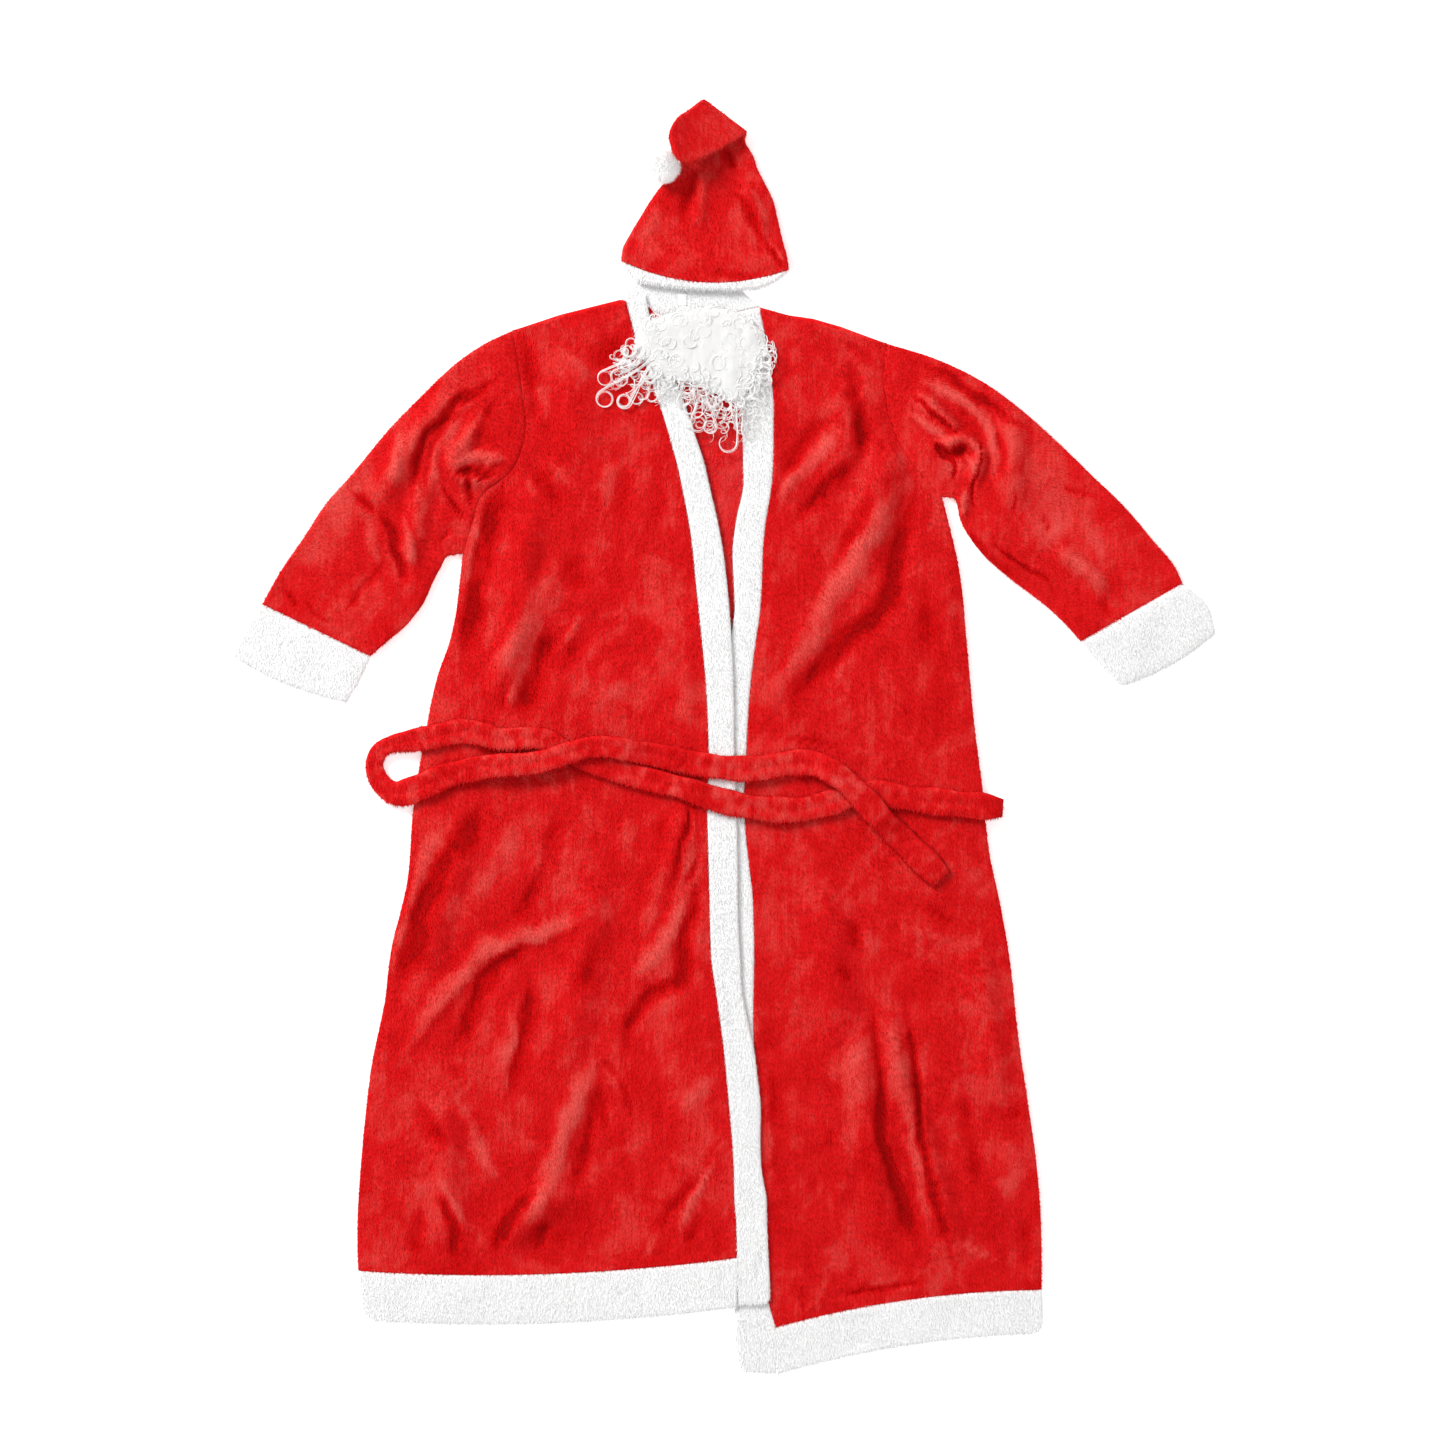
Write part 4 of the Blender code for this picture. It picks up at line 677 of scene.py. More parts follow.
def cloth_area(plan):
    """Area of a grid of plan points, in square metres."""
    first, second = plan[1:, 1:] - plan[:-1, :-1], plan[1:, :-1] - plan[:-1, 1:]
    return float(np.abs(first[..., 0] * second[..., 1] - first[..., 1] * second[..., 0]).sum() / 2) * MM**2


def placed(name, data):
    """An object for a mesh, a light or a camera, in the scene."""
    thing = bpy.data.objects.new(name, data)
    bpy.context.scene.collection.objects.link(thing)
    return thing


def mesh_piece(name, points, faces, material):
    """An object of its own with its place in its mesh and its faces outwards. points are in millimetres."""
    mesh = bpy.data.meshes.new(name)
    mesh.from_pydata([tuple(p) for p in np.asarray(points, float) * MM], [], faces)
    mesh.validate()
    mesh.materials.append(material)
    mesh.shade_smooth()
    bm = bmesh.new()
    bm.from_mesh(mesh)
    bmesh.ops.recalc_face_normals(bm, faces=bm.faces[:])
    bm.to_mesh(mesh)
    bm.free()
    return placed(name, mesh)


def set_share(piece, values, name="nap share"):
    layer = piece.data.attributes.new(name, "FLOAT", "POINT")
    layer.data.foreach_set("value", np.asarray(values, np.float32).ravel())


def painted_fold_shading(height, nap, wraps=False):
    """Painted shade and highlight of the folds, from -1 in a trough to 1 on a ridge: how far each point of a cloth
    stands over its surroundings, with the painted tone of the crease tables there."""
    around = height.copy()
    for _ in range(SMOOTHINGS):
        padded = np.pad(around, 1, mode="edge")
        if wraps:
            padded[:, 0], padded[:, -1] = padded[:, -2], padded[:, 1]
        around = (padded[1:-1, 1:-1] * 2 + padded[:-2, 1:-1] + padded[2:, 1:-1] + padded[1:-1, :-2]
                  + padded[1:-1, 2:]) / 6
    return np.clip((height - around) / FULL_PAINTED_FOLD + nap, -1, 1)


def sheet_faces(rows, columns):
    """Faces of a sheet with two layers of rows by columns points, the upper one first, and of its rims."""
    index = np.arange(rows * columns).reshape(rows, columns)
    a, b, c, d = index[:-1, :-1], index[:-1, 1:], index[1:, 1:], index[1:, :-1]
    top = np.stack([a, d, c, b], axis=-1).reshape(-1, 4)
    bottom = np.stack([a, b, c, d], axis=-1).reshape(-1, 4) + rows * columns
    border = np.concatenate([index[0, :-1], index[:-1, -1], index[-1, :0:-1], index[:0:-1, 0]])
    following = np.roll(border, -1)
    sides = np.stack([border, following, following + rows * columns, border + rows * columns], axis=-1)
    return np.concatenate([top, bottom, sides]).tolist()


def cloth_panel(name, plan, under, wall, material, rounding=5.0, rim=0.4, sink=0.5, creases=None,
                wave=(95.0, 1.8), floor=0.0, nap_share=None, sewn=(0, 0, 0, 0)):
    """A panel of cloth over a grid of plan points: flat underneath where it rests, with rounded rims, its
    creases and the slack of loose cloth on top. sewn says how many millimetres of the rounding each side
    (left, right, top, foot) loses because it's drawn up to its neighbour."""
    _, edges = from_rim(plan)
    edge = np.min([side + taken for side, taken in zip(edges, sewn)], axis=0)
    inland = np.clip(edge / rounding, 0, 1)
    swell = wall * (rim + (1 - rim) * np.sqrt(1 - (1 - inland) ** 2)) - sink * inland
    x, y = plan[..., 0], plan[..., 1]
    rise, nap = crease_relief(x, y, creases or {})
    rise = rise + slack(x, y, *wave) + slack(x, y, wave[0] / 3.4, wave[1] / 3, 7)
    rise = rise * smooth_step(edge, 0, 14)
    low = np.maximum(under + np.minimum(rise, 2.5) * smooth_step(edge, 0, 20), floor)
    high = np.maximum(under + swell + rise, low + wall * 0.35)
    points = np.concatenate([
        np.dstack([plan, high]).reshape(-1, 3), np.dstack([plan, low]).reshape(-1, 3),
    ])
    piece = mesh_piece(name, points, sheet_faces(*plan.shape[:2]), material)
    share = np.ones(plan.shape[:2]) if nap_share is None else nap_share
    on_rim = np.where(edge < rounding * 0.3, 0.5, 0.0)
    set_share(piece, np.concatenate([share.ravel(), (share * on_rim).ravel()]))
    # Painted shade in the troughs and painted highlight on the ridges, stored on both layers
    tone = painted_fold_shading(rise, nap).ravel()
    set_share(piece, np.concatenate([tone, tone]), "painted fold shade")
    return piece


def cloth_tube(name, outer, inner, material, share=None, lifts=None, naps=None):
    """A tube of cloth, open at both ends, from its outer and inner rings."""
    outer, inner = np.array(outer), np.array(inner)
    rings, points = outer.shape[:2]
    grid = np.arange(rings * points).reshape(rings, points)
    step = np.roll(grid, -1, axis=1)
    wall = np.stack([grid[:-1], step[:-1], step[1:], grid[1:]], axis=-1).reshape(-1, 4)
    lining = wall[:, ::-1] + rings * points
    faces = [wall, lining]
    for end in (0, -1):
        faces.append(np.stack([
            grid[end], grid[end] + rings * points, step[end] + rings * points, step[end],
        ], axis=-1)[:, ::1 if end == 0 else -1])
    piece = mesh_piece(
        name, np.concatenate([outer.reshape(-1, 3), inner.reshape(-1, 3)]),
        np.concatenate(faces).tolist(), material,
    )
    share = np.ones((rings, points)) if share is None else share
    set_share(piece, np.concatenate([share.ravel(), np.zeros(rings * points)]))
    # Painted shade in the troughs and painted highlight on the ridges of the tube
    if lifts is not None:
        tone = painted_fold_shading(np.array(lifts), np.array(naps), wraps=True).ravel()
        set_share(piece, np.concatenate([tone, tone]), "painted fold shade")
    return piece


def link(tree, source, target):
    tree.links.new(source, target)


def new_node(tree, kind, feeds=None, **values):
    """A node with its properties and its plain inputs set, whose other inputs the outputs in feeds are linked
    to. In values an input's name is written with underscores."""
    node = tree.nodes.new(kind)
    for key, value in values.items():
        if hasattr(node, key):
            setattr(node, key, value)
        else:
            node.inputs[key.replace("_", " ")].default_value = value
    for key, source in (feeds or {}).items():
        link(tree, source, node.inputs[key])
    return node


def worked_out(tree, operation, *terms, kind="ShaderNodeMath", **values):
    """The result of a math node. Each term is another node's output or a value of its own."""
    node = new_node(tree, kind, operation=operation, **values)
    for place, term in zip(node.inputs, terms):
        if isinstance(term, bpy.types.NodeSocket):
            link(tree, term, place)
        else:
            place.default_value = term
    return node.outputs[0]


def vector_of(tree, operation, *terms):
    return worked_out(tree, operation, *terms, kind="ShaderNodeVectorMath")


def drifting(tree, cloud, strength):
    """A noise's colour as a drift to all sides, of the given strength."""
    centred = vector_of(tree, "SUBTRACT", cloud.outputs["Color"], (0.5, 0.5, 0.5))
    return new_node(tree, "ShaderNodeVectorMath", {0: centred, "Scale": strength}, operation="SCALE").outputs[0]


def set_inputs(node, values):
    for key, value in values.items():
        node.inputs[key].default_value = value


def group_ends(tree, inputs, outputs):
    """Gives a node group its sockets, as rows of name, kind and value, and returns both its ends."""
    for rows, way in ((inputs, "INPUT"), (outputs, "OUTPUT")):
        for name, kind, value in rows:
            socket = tree.interface.new_socket(name=name, in_out=way, socket_type="NodeSocket" + kind)
            if value is not None:
                socket.default_value = value
    return tree.nodes.new("NodeGroupInput").outputs, tree.nodes.new("NodeGroupOutput").inputs


def nap_patches_group():
    """Tone of the pile, from 0 where it looks deep to 1 where it looks bright: long soft-edged patches, short
    strokes, the fine ribs of the knitted ground, single tufts, and the painted shade in troughs and painted
    highlight on ridges that the cloth carries as an attribute. Sizes are in metres."""
    tree = bpy.data.node_groups.new("nap patches", "ShaderNodeTree")
    given, out = group_ends(tree, [(name, "Float", value) for name, value in (
        ("Patch Width", 0.022), ("Patch Length", 0.05), ("Turn", 0.3), ("Warp", 0.03), ("Rib Size", 0.0022),
        ("Tuft Size", 0.0016), ("Patch Share", 0.5), ("Stroke Share", 0.4), ("Rib Share", 0.2),
        ("Tuft Share", 0.4), ("Painted Fold Share", 0.5),
    )], [("Tone", "Float", None), ("Grain", "Float", None)])
    place = new_node(tree, "ShaderNodeTexCoord").outputs["Object"]
    drift = new_node(tree, "ShaderNodeTexNoise", {"Vector": place}, Scale=14.0, Detail=1.0)
    warped = vector_of(tree, "ADD", place, drifting(tree, drift, given["Warp"]))
    turned = new_node(
        tree, "ShaderNodeVectorRotate", {"Vector": warped, "Angle": given["Turn"]}, rotation_type="Z_AXIS",
    ).outputs[0]

    def stretched(source, width, length):
        """Coordinates in which one unit is the given width across and the given length along."""
        size = new_node(tree, "ShaderNodeCombineXYZ", {"X": width, "Y": length, "Z": width})
        return vector_of(tree, "DIVIDE", source, size.outputs[0])

    def mask(vector, scale, detail, low, high):
        cloud = new_node(
            tree, "ShaderNodeTexNoise", {"Vector": vector}, Scale=scale, Detail=detail, Roughness=0.6,
        )
        return new_node(
            tree, "ShaderNodeMapRange", {"Value": cloud.outputs["Fac"]}, interpolation_type="SMOOTHSTEP",
            From_Min=low, From_Max=high,
        ).outputs["Result"]

    blotches = stretched(turned, given["Patch Width"], given["Patch Length"])
    rib_length = worked_out(tree, "MULTIPLY", given["Rib Size"], 14.0)
    grain = new_node(tree, "ShaderNodeTexNoise", {
        "Vector": place, "Scale": worked_out(tree, "DIVIDE", 1.0, given["Tuft Size"]),
    }, Detail=1.5, Roughness=0.7).outputs["Fac"]
    tone = 0.5
    for source, share in (
        (mask(blotches, 0.55, 3.0, 0.34, 0.66), "Patch Share"),
        (mask(blotches, 1.9, 2.0, 0.36, 0.66), "Stroke Share"),
        (mask(stretched(place, given["Rib Size"], rib_length), 0.8, 1.0, 0.3, 0.7), "Rib Share"),
        (grain, "Tuft Share"),
    ):
        around = worked_out(tree, "SUBTRACT", source, 0.5)
        tone = worked_out(tree, "MULTIPLY_ADD", around, given[share], tone)
    # Painted shade in the troughs and painted highlight on the ridges, stored on the cloth
    folds = new_node(tree, "ShaderNodeAttribute", attribute_name="painted fold shade").outputs["Fac"]
    tone = worked_out(tree, "MULTIPLY_ADD", folds, given["Painted Fold Share"], tone, use_clamp=True)
    link(tree, tone, out["Tone"])
    link(tree, grain, out["Grain"])
    return tree


def plain_material(name, values):
    """A material with the given values on its shader's own sockets, and that shader."""
    material = bpy.data.materials.new(name)
    material.use_nodes = True
    shader = material.node_tree.nodes["Principled BSDF"]
    set_inputs(shader, values)
    return material, shader


def plush(name, colors, roughness, sheen, sheen_tint, sizes, bump=0.0, gloss=0.25, soft=0.0, glow=0.0):
    """Plush in three shades, from deep to light, between which the pile's tone and the painted fold shade and
    highlight choose, and a darker copy of the deep one as painted shade in the depth of a fold. The glow is
    emission, painted light that brightens fine white fibres."""
    values = {
        "Sheen Weight": sheen, "Sheen Roughness": 0.45, "Sheen Tint": (*sheen_tint, 1.0),
        "Specular IOR Level": gloss,
    }
    # Emission: a painted glow on fine white fibres, not a lamp
    if glow:
        values.update({"Emission Color": (1.0, 1.0, 1.0, 1.0), "Emission Strength": glow})
    if soft:
        values.update({
            "Subsurface Weight": soft, "Subsurface Radius": (1.0, 0.95, 0.85), "Subsurface Scale": 0.004,
        })
    material, shader = plain_material(name, values)
    tree = material.node_tree
    nap = new_node(tree, "ShaderNodeGroup", node_tree=patches)
    set_inputs(nap, sizes)
    shades = new_node(tree, "ShaderNodeValToRGB", {"Fac": nap.outputs["Tone"]})
    ramp = shades.color_ramp.elements
    for place in SHADE_PLACES[1:3]:
        ramp.new(place)
    # The darkest stop is painted shade for the depth of a fold
    shut = tuple(value * DEPTH_PAINTED_SHADE for value in colors[0])
    for stop, place, color in zip(ramp, SHADE_PLACES, (shut, *colors)):
        stop.position = place
        stop.color = (*color, 1.0)
    rough = new_node(
        tree, "ShaderNodeMapRange", {"Value": nap.outputs["Tone"]}, To_Min=roughness[1], To_Max=roughness[0],
    )
    link(tree, shades.outputs["Color"], shader.inputs["Base Color"])
    link(tree, rough.outputs["Result"], shader.inputs["Roughness"])
    if bump:
        relief = new_node(
            tree, "ShaderNodeBump", {"Height": nap.outputs["Grain"]}, Strength=bump, Distance=0.001,
        )
        link(tree, relief.outputs["Normal"], shader.inputs["Normal"])
    return material


# Trees that grow the pile and the strands
def end_tree(tree, shape, material, end):
    """Ends a tree: the instances are made real and given their material."""
    real = new_node(tree, "GeometryNodeRealizeInstances", {0: shape})
    finished = new_node(tree, "GeometryNodeSetMaterial", {"Geometry": real.outputs[0], "Material": material})
    link(tree, finished.outputs[0], end)
    return tree


def tuft_tree():
    """Single tufts of pile spread over a cloth and leaning the way that it was brushed."""
    tree = bpy.data.node_groups.new("pile of the plush", "GeometryNodeTree")
    given, out = group_ends(tree, [
        ("Cloth", "Geometry", None), ("Tufts per m2", "Float", 400000.0), ("Length", "Float", 0.004),
        ("Width", "Float", 0.0012), ("Nap", "Vector", (0.0, -1.0, 0.0)), ("Lean", "Float", 1.0),
        ("Swirl", "Float", 3.0), ("Patch per m", "Float", 18.0), ("Seed", "Int", 1), ("Fibre", "Material", None),
    ], [("Pile", "Geometry", None)])
    share = new_node(tree, "GeometryNodeInputNamedAttribute", data_type="FLOAT", Name="nap share")
    spread = new_node(tree, "GeometryNodeDistributePointsOnFaces", {
        "Mesh": given["Cloth"], "Seed": given["Seed"],
        "Density": worked_out(tree, "MULTIPLY", given["Tufts per m2"], share.outputs["Attribute"]),
    }, distribute_method="RANDOM")

    swirl = new_node(tree, "ShaderNodeTexNoise", {
        "Vector": tree.nodes.new("GeometryNodeInputPosition").outputs[0], "Scale": given["Patch per m"],
    }, Detail=2.0)
    brushed = vector_of(tree, "ADD", given["Nap"], drifting(tree, swirl, given["Swirl"]))
    leaning = new_node(tree, "ShaderNodeVectorMath", {0: brushed, "Scale": given["Lean"]}, operation="SCALE")
    stray = new_node(tree, "FunctionNodeRandomValue", {"Seed": given["Seed"]}, data_type="FLOAT_VECTOR")
    set_inputs(stray, {0: (-0.55, -0.55, -0.4), 1: (0.55, 0.55, 0.4)})
    upright = vector_of(tree, "ADD", spread.outputs["Normal"], stray.outputs[0])
    way = vector_of(tree, "ADD", upright, leaning.outputs[0])
    stand = new_node(tree, "FunctionNodeAlignRotationToVector", {"Vector": way}, axis="Z")
    face = new_node(
        tree, "FunctionNodeAlignRotationToVector", {"Rotation": stand.outputs[0], "Vector": upright},
        axis="X", pivot_axis="Z",
    )

    blade = new_node(tree, "GeometryNodeMeshCircle", fill_type="NGON", Vertices=3, Radius=1.0)
    size = new_node(tree, "ShaderNodeCombineXYZ", {
        "X": worked_out(tree, "MULTIPLY", given["Length"], 2 / 3),
        "Y": worked_out(tree, "DIVIDE", given["Width"], math.sqrt(3)),
    }, Z=1.0)
    sunk = new_node(tree, "ShaderNodeCombineXYZ", {"Z": worked_out(tree, "MULTIPLY", given["Length"], 0.22)})
    tuft = new_node(tree, "GeometryNodeTransform", {
        "Geometry": blade.outputs["Mesh"], "Scale": size.outputs[0], "Translation": sunk.outputs[0],
    }, Rotation=(0.0, -math.pi / 2, 0.0))
    grown = new_node(tree, "FunctionNodeRandomValue", {"Seed": given["Seed"]}, data_type="FLOAT")
    set_inputs(grown, {2: 0.6, 3: 1.25})
    set_out = new_node(tree, "GeometryNodeInstanceOnPoints", {
        "Points": spread.outputs["Points"], "Instance": tuft.outputs[0], "Rotation": face.outputs[0],
        "Scale": grown.outputs[1],
    })
    return end_tree(tree, set_out.outputs[0], given["Fibre"], out["Pile"])


def strand_tree():
    """Fine hairs along the edges of a mesh, as thick as each point says."""
    tree = bpy.data.node_groups.new("strands of hair", "GeometryNodeTree")
    given, out = group_ends(
        tree, [("Paths", "Geometry", None), ("Sides", "Int", 3), ("Hair", "Material", None)],
        [("Strands", "Geometry", None)],
    )
    path = new_node(tree, "GeometryNodeMeshToCurve", {"Mesh": given["Paths"]})
    thickness = new_node(
        tree, "GeometryNodeInputNamedAttribute", data_type="FLOAT", Name="thickness",
    ).outputs["Attribute"]
    radius = new_node(tree, "GeometryNodeSetCurveRadius", {"Curve": path.outputs[0], "Radius": thickness})
    section = new_node(tree, "GeometryNodeCurvePrimitiveCircle", {"Resolution": given["Sides"]}, Radius=1.0)
    tube = new_node(tree, "GeometryNodeCurveToMesh", {
        "Curve": radius.outputs[0], "Profile Curve": section.outputs[0],
    }, Fill_Caps=True)
    if "Scale" in tube.inputs:
        link(tree, thickness, tube.inputs["Scale"])
    return end_tree(tree, tube.outputs[0], given["Hair"], out["Strands"])


def grow(name, carrier, tree, values):
    """Runs a tree on a carrier and keeps what it makes as a plain mesh of its own."""
    modifier = carrier.modifiers.new("grow", "NODES")
    modifier.node_group = tree
    for item in tree.interface.items_tree:
        if item.item_type == "SOCKET" and item.in_out == "INPUT" and item.name in values:
            modifier[item.identifier] = values[item.name]
    carrier.update_tag()
    bpy.context.view_layer.update()
    seen = carrier.evaluated_get(bpy.context.evaluated_depsgraph_get())
    mesh = bpy.data.meshes.new_from_object(seen)
    carrier.modifiers.remove(modifier)
    mesh.name = name
    return placed(name, mesh)


def dressed(piece, node, with_pieces=()):
    """Puts a piece of cloth in the place of its CAD node, with the pieces on it."""
    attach(piece, "root")
    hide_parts(node)
    for other in with_pieces:
        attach(other, "root")


def robe_edges(at):
    """The outer edges and the front seams of the robe with the looks' own rows."""
    left, right = body_edge(ARMHOLE_LEFT, SIDE_LEFT), body_edge(ARMHOLE_RIGHT, SIDE_RIGHT)
    rim_left = band_rim(SEAM_LEFT, HEM_TOP_LEFT_PX)
    rim_right = band_rim(SEAM_RIGHT, HEM_TOP_RIGHT_PX)
    rows = len(left)
    return (
        finer(left, at), finer(right, at), finer(rim_left[:rows, :2], at), finer(rim_right[:rows, :2], at),
        rim_left, rim_right,
    )


def front_panel(name, side, seam, over_band, creases, material):
    bow = LEFT_HEM_BOW if over_band else RIGHT_HEM_BOW
    shares = crowded_shares(FRONT_COLUMNS)
    plan = patch(side, seam, shares, bottom_bow=bow)
    from_side = shares[None, :] * np.ones((len(side), 1))
    under = front_underside(plan, from_side, over_band)
    under = under - 0.9 * (1 - smooth_step(from_side, 0, 0.02))
    return plan, cloth_panel(
        name, plan, under, RED_WALL, material, rounding=3.2, rim=0.75, creases=creases, floor=LOWEST_FRONT,
    )


def round_corner(plan, side, radius):
    """Draws the grid in at the foot of its first or last column, so that the cloth has a round corner there."""
    edge = plan[:, side].copy()
    inward = plan[:, 1 if side == 0 else -2] - edge
    inward /= np.linalg.norm(inward, axis=1)[:, None]
    up = np.linalg.norm(edge - edge[-1], axis=1)
    pull = radius * (1 - np.sqrt(1 - np.clip(1 - up / radius, 0, 1) ** 2))
    fade = np.clip(1 - np.linalg.norm(plan - edge[:, None], axis=2) / (4 * radius), 0, 1)
    plan += inward[:, None] * (pull[:, None] * fade)[..., None]


def hem_panel(name, side_end, seam_end, side_drop, seam_drop, bow, over_band, material):
    down = crowded_shares(14, (0.02, 0.06))[:, None]
    corner, other = side_end - (0, SEAM), seam_end - (0, SEAM)
    across = crowded_shares(FRONT_COLUMNS)
    plan = patch(corner + down * side_drop, other + down * seam_drop, across)
    plan[:, :, 1] += 4 * across * (1 - across) * bow
    round_corner(plan, 0, HEM_CORNER)
    under = front_underside(plan, across[None, :] * np.ones((len(plan), 1)), over_band)
    piece = cloth_panel(
        name, plan, under, WHITE_WALL, material, rounding=8.0, rim=0.5, sink=0.8, creases=ROBE_CREASES,
        wave=(60.0, 1.6), floor=LOWEST_FRONT, sewn=(0, SEAM_DRAW, 0, 0),
    )
    return plan, piece


def back_hem_panel(left_end, right_end, material):
    down = crowded_shares(10, (0.02, 0.06))[:, None]
    left = left_end - (0, SEAM) + down * (BACK_HEM_SLANT, -HEM_DEPTH_BACK)
    right = right_end - (0, SEAM) + down * (-2, -HEM_DEPTH_BACK)
    across = crowded_shares(60)
    plan = patch(left, right, across)
    plan[:, :, 1] += 4 * across * (1 - across) * BACK_HEM_BOW
    under = np.zeros(plan.shape[:2])
    piece = cloth_panel("hem_back_fur", plan, under, WHITE_WALL, material, rounding=9.0, rim=0.35, sink=0.6,
                        wave=(60.0, 0.5))
    return plan, piece


def band_panel(name, rim, toward, over_band, material):
    tangent = np.gradient(rim[:, :2], axis=0)
    normal = np.stack([-tangent[:, 1], tangent[:, 0]], axis=1)
    normal /= np.linalg.norm(normal, axis=1)[:, None]
    normal *= (toward * np.sign(normal[:, 0]))[:, None]
    shares = crowded_shares(TRIM_COLUMNS, (0.03, 0.07))
    plan = patch(rim[:, :2] + normal * SEAM, rim[:, :2] + normal * rim[:, 2:3], shares)
    round_corner(plan, -1, BAND_CORNER)
    y = plan[..., 1]
    at_hem = SEAM_DRAW * smooth_step(y[-1, 0] + 90 - y, 0, 10)
    if over_band:
        rest = FRONT_REST + FRONT_LOFT
        under = rest + (OVER_BAND_REST - rest) * smooth_step(-y, -CROSSING_TOP_Y, -CROSSING_FULL_Y)
    else:
        under = np.full(y.shape, UNDER_BAND_REST)
    under = under + (NECK_BAND_REST - under) * smooth_step(y, 430, 470)
    piece = cloth_panel(
        name, plan, under, WHITE_WALL, material, rounding=8.0, rim=0.5, sink=0.7, creases=BAND_CREASES,
        wave=(60.0, 0.8), sewn=(at_hem, 0, 0, 0),
    )
    return plan, piece


def back_panel(left, right, material):
    """The back, whose upper rows carry the shoulders and the neckline. Its pile shows inside the neck."""
    left, right = left.copy(), right.copy()
    left[-1, 1] = right[-1, 1] = max(left[-1, 1], right[-1, 1])
    top = from_photo(BACK_TOP)
    own = (top[:, 0] - top[0, 0]) / (top[-1, 0] - top[0, 0])
    shares = np.unique(np.concatenate([crowded_shares(44), own]))
    upper = np.stack([np.interp(shares, own, top[:, k]) for k in range(2)], axis=1)
    plan = patch(left, right, shares, bottom_bow=BACK_HEM_BOW)
    down = np.linspace(0, 1, len(left))[:, None]
    plan[:, :, 1] += (upper[:, 1] - plan[0, :, 1]) * (1 - np.clip(down / 0.25, 0, 1)) ** 2
    x, y = plan[..., 0], plan[..., 1]
    seam_left, seam_right = from_photo(SEAM_LEFT), from_photo(SEAM_RIGHT)
    inner_left = np.interp(-y, -seam_left[:, 1], seam_left[:, 0])
    inner_right = np.interp(-y, -seam_right[:, 1], seam_right[:, 0])
    shown = smooth_step(y, 130, 160) * smooth_step(x - inner_left, 0, 12) * smooth_step(inner_right - x, 0, 12)
    return plan, cloth_panel(
        "back_cloth", plan, np.zeros(x.shape), RED_WALL, material, sink=0.4, wave=(120.0, 0.5), nap_share=shown,
    )


def tube_ring(line, base, wall, gap, lift, inset=0.0):
    """One ring of a tube pressed flat, with the lift of its folds on the upper layer."""
    half = wall + gap / 2 - inset
    full = np.linalg.norm(line(1.0) - line(0.0))
    angle = 2 * math.pi * np.arange(RING_POINTS) / RING_POINTS
    share = (inset + (1 - np.cos(angle)) / 2 * (full - 2 * inset)) / full
    plan = np.array([line(s) for s in share])
    roll = np.minimum(1.0, np.abs(np.sin(angle)) / 0.45)
    bulge = half * np.sqrt(roll * (2 - roll))
    middle = base + wall + gap / 2
    raised = lift(plan[:, 0], plan[:, 1]) * roll**2
    upper = np.maximum(middle + bulge + raised, middle + np.minimum(bulge, half * 0.3))
    return np.column_stack([plan, np.where(np.sin(angle) >= -1e-9, upper, middle - bulge)])


def level(x, y):
    return 0 * x


def sleeve_tube(name, armhole, table, away, material):
    """A sleeve pressed flat. It's nipped where it's sewn in, and a little at the cuff."""
    def lift(x, y):
        return (
            fold_height(x, y, SLEEVE_FOLDS) + crease_relief(x, y, SLEEVE_CREASES)[0] + slack(x, y, 70.0, 2.2)
            + slack(x, y, 24.0, 0.9, 5)
        )

    hole = armhole - (away * SEAM_TURN, 0)
    rows = np.concatenate([[[*hole[0], *hole[-1]]], from_photo(table, pairs=2)])
    outline = smooth_curve(rows, SLEEVE_RINGS, spacing_columns=4)
    along_hole = rounded_shares(len(hole) - 1)
    bend = hole - (hole[0] + (hole[-1] - hole[0]) * along_hole[:, None])
    fine_along = np.linspace(0, 1, 60)
    places_on_hole = np.interp(fine_along, along_hole, np.arange(len(hole)))
    fine_bend = finer(bend, places_on_hole)
    middle = RED_WALL + TUBE_GAP / 2
    outer, inner, lifts, naps = [], [], [], []
    for i, row in enumerate(outline):
        fade = (1 - i / (len(outline) - 1)) ** 5
        first, last = np.array(row[:2]), np.array(row[2:4])

        def line(share, first=first, last=last, fade=fade):
            moved = np.array([np.interp(share, fine_along, fine_bend[:, k]) for k in range(2)])
            return first + (last - first) * share + moved * fade

        plan = tube_ring(line, 0.0, RED_WALL, TUBE_GAP, level)[:, :2].T
        # Heights and painted tone of the creases, for the sleeve's painted shade and highlight
        relief, nap = crease_relief(*plan, SLEEVE_CREASES)
        lifts.append(relief + 0.5 * fold_height(*plan, SLEEVE_FOLDS))
        naps.append(nap)
        nip = 1 - 0.36 * math.exp(-i / 1.6) - 0.12 * math.exp(-(len(outline) - 1 - i) / 1.2)
        ring = tube_ring(line, 0.0, RED_WALL, TUBE_GAP, lift)
        ring[:, 2] = middle + (ring[:, 2] - middle) * nip
        lining = tube_ring(line, 0.0, RED_WALL, TUBE_GAP, lift, inset=RED_WALL)
        lining[:, 2] = middle + (lining[:, 2] - middle) * nip
        outer.append(ring)
        inner.append(lining)
    shown = np.ones((len(outer), RING_POINTS))
    shown[:, RING_POINTS // 2 + 3:-2] = 0.2
    return outline, cloth_tube(name, outer, inner, material, shown, lifts, naps)


